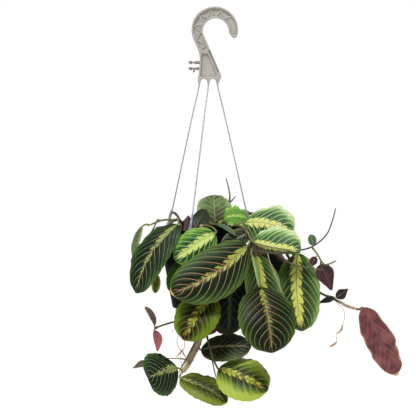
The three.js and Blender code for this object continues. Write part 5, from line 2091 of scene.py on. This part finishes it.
@dataclass
class DryBits:
    """Dry threads, sheaths and flakes on the lower stems.

    A thread has one radius, a strand several that are spread along it, and a flake the radius
    of its middle.
    """

    threads: tuple = (
        ("dry_thread_right", 0.35, [
            (176, -32, -416), (178.5, -36, -420.7), (188.2, -38, -431.1), (189.8, -38, -441.5),
            (187.3, -38, -452.3), (184.2, -38, -461.8), (177.8, -38, -467), (178.6, -38, -477.7),
            (175.9, -38, -481), (168.1, -38, -486.2),
        ]),
        ("dry_loop", 0.4, [
            (-52, -65, -443.5), (-53.2, -66, -458.3), (-56.4, -66, -468.8), (-55.2, -66, -479.2),
            (-50.2, -66, -487.5), (-48, -66, -487.5), (-45.5, -66, -477.2), (-46.9, -66, -466.6),
        ]),
        ("dry_needle_low", 0.35, [(-56, -65, -445.9), (-60, -66, -453), (-64.6, -66, -460.5)]),
        ("dry_fuzz", 0.3, [
            (-50.5, -66, -488), (-52.2, -66, -498.1), (-50, -66, -504.5), (-51.2, -66, -514.8),
        ]),
    )
    strands: tuple = (
        ("stem_sheath_upper", (0.5, 1.9, 1.7, 0.9, 0.2), Skin.SHEATH, [
            (-16.4, -69.6, -430), (-17, -70.6, -446), (-23, -69, -470), (-33, -68.4, -489),
            (-42, -70.5, -508),
        ]),
        ("stem_sheath_middle", (0.6, 2.3, 2.4, 1.5, 0.3), Skin.BLUSH, [
            (-19.6, -68, -452), (-26, -67.6, -472), (-35.4, -68, -491), (-45, -69, -510), (-50, -73, -523),
        ]),
        ("dry_arm_long", (0.5, 0.9, 0.8, 0.3), Skin.TWIG, [
            (-48, -66, -484), (-50.2, -66, -487.4), (-54, -66.3, -492), (-58, -66, -496),
        ]),
        ("dry_arm_short", (0.4, 0.9, 0.8, 0.3), Skin.TWIG, [
            (-51.6, -66, -485.5), (-49.4, -66, -487.4), (-46.5, -66.4, -492), (-43.4, -66, -497.5),
        ]),
        ("stem_sheath_far", (1.5, 2.25, 2.2, 2.3, 1.2), Skin.BLUSH, [
            (177, -31.9, -417), (184, -31.5, -420.6), (191, -31, -425), (203, -30.5, -429.2),
            (212, -30, -431.8),
        ]),
        ("stalk_bare", (0.7, 0.55, 0.5, 0.6), Skin.BARE, [
            (72, -113, -341), (78, -113, -360), (88, -112, -384), (94, -110, -398), (98, -104, -411),
        ]),
        ("stem_sheath_outer", (0.6, 1.8, 2.0, 1.4, 0.3), Skin.GREEN, [
            (-22.6, -66, -458), (-29.6, -65, -474), (-39.4, -66, -493), (-49.6, -67, -510),
            (-54.5, -71, -519),
        ]),
    )
    flakes: tuple = (
        ("dry_flake_upper", 1.3, [(187.3, -38, -452.3), (184.2, -38, -461.8), (177.8, -38, -466)]),
        ("dry_flake_lower", 1.5, [(178.6, -38, -477.7), (175.9, -38, -481), (168.1, -38, -486.2)]),
    )

    @staticmethod
    def lay(
        name: str, line: np.ndarray, radii: np.ndarray | float, sides: int, skin: Material
    ) -> None:
        """Makes one piece on its stem and hands it over.

        Args:
            name: The piece's name.
            line: Its centre line.
            radii: Its radius at each point, or all along.
            sides: How many sides it has.
            skin: Its material.
        """
        piece = Bench.dress(Bench.tube(name, line, radii, sides), skin)
        Bench.settle(piece, 60.0)
        Bench.hand_over(piece, "stem")

    def build(self, palette: Palette) -> None:
        """Draws out the threads and strands and flattens the flakes.

        Args:
            palette: Where the finishes come from.
        """
        dry = palette.get(Skin.DRY)
        for name, radius, points in self.threads:
            share = np.linspace(0.0, 1.0, 8 * len(points))
            self.lay(name, Path(points).at(share), radius, 6, dry)
        for name, stops, skin, points in self.strands:
            share = np.linspace(0.0, 1.0, 40)
            radii = np.interp(share, np.linspace(0.0, 1.0, len(stops)), stops)
            self.lay(name, Path(points).at(share), radii, 12, palette.get(skin))
        for name, radius, points in self.flakes:
            share = np.linspace(0.0, 1.0, 24)
            oval = np.sqrt(np.clip(1 - (2 * share - 1) ** 2, 0.02, 1))
            radii = radius * oval * (1 + 0.2 * np.sin(17 * share))
            self.lay(name, Path(points).at(share), radii, 8, dry)


# ---- The studio -----------------------------------------------------------------------------


@dataclass
class Studio:
    """Camera, soft lights and a pale floor."""

    target: Point = (-11.55, 0.0, -282.6)
    elevation: float = 3.0
    distance: float = 1700.0
    view_width: float = 624.0
    sensor: float = 36.0
    floor_z: float = -2600.0
    floor_size: float = 60.0
    shade: str = "f6f5f3"
    wall: str = "ffffff"
    glow: float = 0.24

    # The far light: name, strength, width in degrees, way to it. Then the near ones: name,
    # watts, side and place in metres.
    KEY = ("key_light", 3.0, 18.0, (-0.35, -0.75, 1.3))
    FILL = ("fill_light", 11.0, 2.0, (2.5, -1.1, 0.5))
    RIM = ("rim_light", 26.0, 1.6, (0.6, 2.2, 1.2))

    def camera(self) -> None:
        """Sets up the camera at the plant's level, a little above it."""
        tilt = math.radians(self.elevation)
        spot = Vector(self.target) + Vector((0.0, -math.cos(tilt), math.sin(tilt))) * self.distance
        data = bpy.data.cameras.new("camera")
        data.sensor_width = self.sensor
        data.lens = self.sensor * self.distance / self.view_width
        camera = bpy.data.objects.new("camera", data)
        camera.location = spot * MM
        camera.rotation_euler = (Vector(self.target) - spot).to_track_quat("-Z", "Y").to_euler()
        bpy.context.collection.objects.link(camera)
        bpy.context.scene.camera = camera

    def floor(self) -> None:
        """Lays the pale floor far below the hanging plant."""
        paint = Paint(bpy.data.materials.new("floor_pale"))
        tone = paint.noise(paint.place(), 0.6, 2.0)
        pale = paint.done(
            Base_Color=paint.mix(tone * 0.2, self.shade, "fafaf9"),
            Roughness=0.9,
            Specular_IOR_Level=0.1,
            Emission_Color=colour(self.wall),
            Emission_Strength=0.1,
        )
        Bench.pick()
        bpy.ops.mesh.primitive_grid_add(x_subdivisions=2, y_subdivisions=2, size=self.floor_size)
        floor = bpy.context.object
        floor.name = "floor"
        floor.location.z = self.floor_z * MM
        Bench.dress(floor, pale)
        Bench.settle(floor)

    def sun(self, name: str, strength: float, spread: float, towards: Point) -> None:
        """Hangs a soft far light.

        Args:
            name: The light's name.
            strength: Its strength.
            spread: How wide it looks from the plant, in degrees.
            towards: The way from the plant to it.
        """
        data = bpy.data.lights.new(name, "SUN")
        data.energy = strength
        data.angle = math.radians(spread)
        lamp = bpy.data.objects.new(name, data)
        lamp.rotation_euler = (-Vector(towards)).to_track_quat("-Z", "Y").to_euler()
        bpy.context.collection.objects.link(lamp)

    def light(self, name: str, power: float, size: float, spot: Point) -> None:
        """Hangs a soft square light that looks at the plant.

        Args:
            name: The light's name.
            power: Its power in watts.
            size: Its side in metres.
            spot: Where it hangs, in metres.
        """
        data = bpy.data.lights.new(name, "AREA")
        data.energy = power
        data.size = size
        lamp = bpy.data.objects.new(name, data)
        lamp.location = spot
        aim = Vector(self.target) * MM - Vector(spot)
        lamp.rotation_euler = aim.to_track_quat("-Z", "Y").to_euler()
        bpy.context.collection.objects.link(lamp)

    def room(self) -> None:
        """Surrounds the plant with soft light in front of a white wall."""
        world = bpy.data.worlds.new("studio")
        paint = Paint(world)
        inputs = {"Color": colour(self.shade), "Strength": self.glow}
        glow = paint.node("ShaderNodeBackground", {}, inputs).outputs[0]
        wall = paint.node("ShaderNodeBackground", {}, {"Color": colour(self.wall)}).outputs[0]
        seen = paint.node("ShaderNodeLightPath", {}, {}).outputs["Is Camera Ray"]
        either = paint.node("ShaderNodeMixShader", {}, {0: seen, 1: glow, 2: wall})
        paint.node("ShaderNodeOutputWorld", {}, {"Surface": either.outputs[0]})
        bpy.context.scene.world = world

    def build(self) -> None:
        """Sets up the whole studio."""
        self.camera()
        self.floor()
        self.sun(*self.KEY)
        self.light(*self.FILL)
        self.light(*self.RIM)
        self.room()
        bpy.context.scene.view_settings.view_transform = "Standard"


def main() -> None:
    """Builds the studio, the hanger, the pot and the plant."""
    logging.basicConfig(level=logging.INFO, format="%(message)s")
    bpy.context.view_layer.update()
    Studio().build()
    palette = Palette()
    hanger = Hanger()
    suspension = Suspension(hanger)
    plant = Plant(STEMS, LEAVES)
    for maker in (hanger, suspension, Pot(suspension), Soil(), plant, DryBits()):
        log.info("Building %s", type(maker).__name__)
        maker.build(palette)


if __name__ == "__main__":
    main()
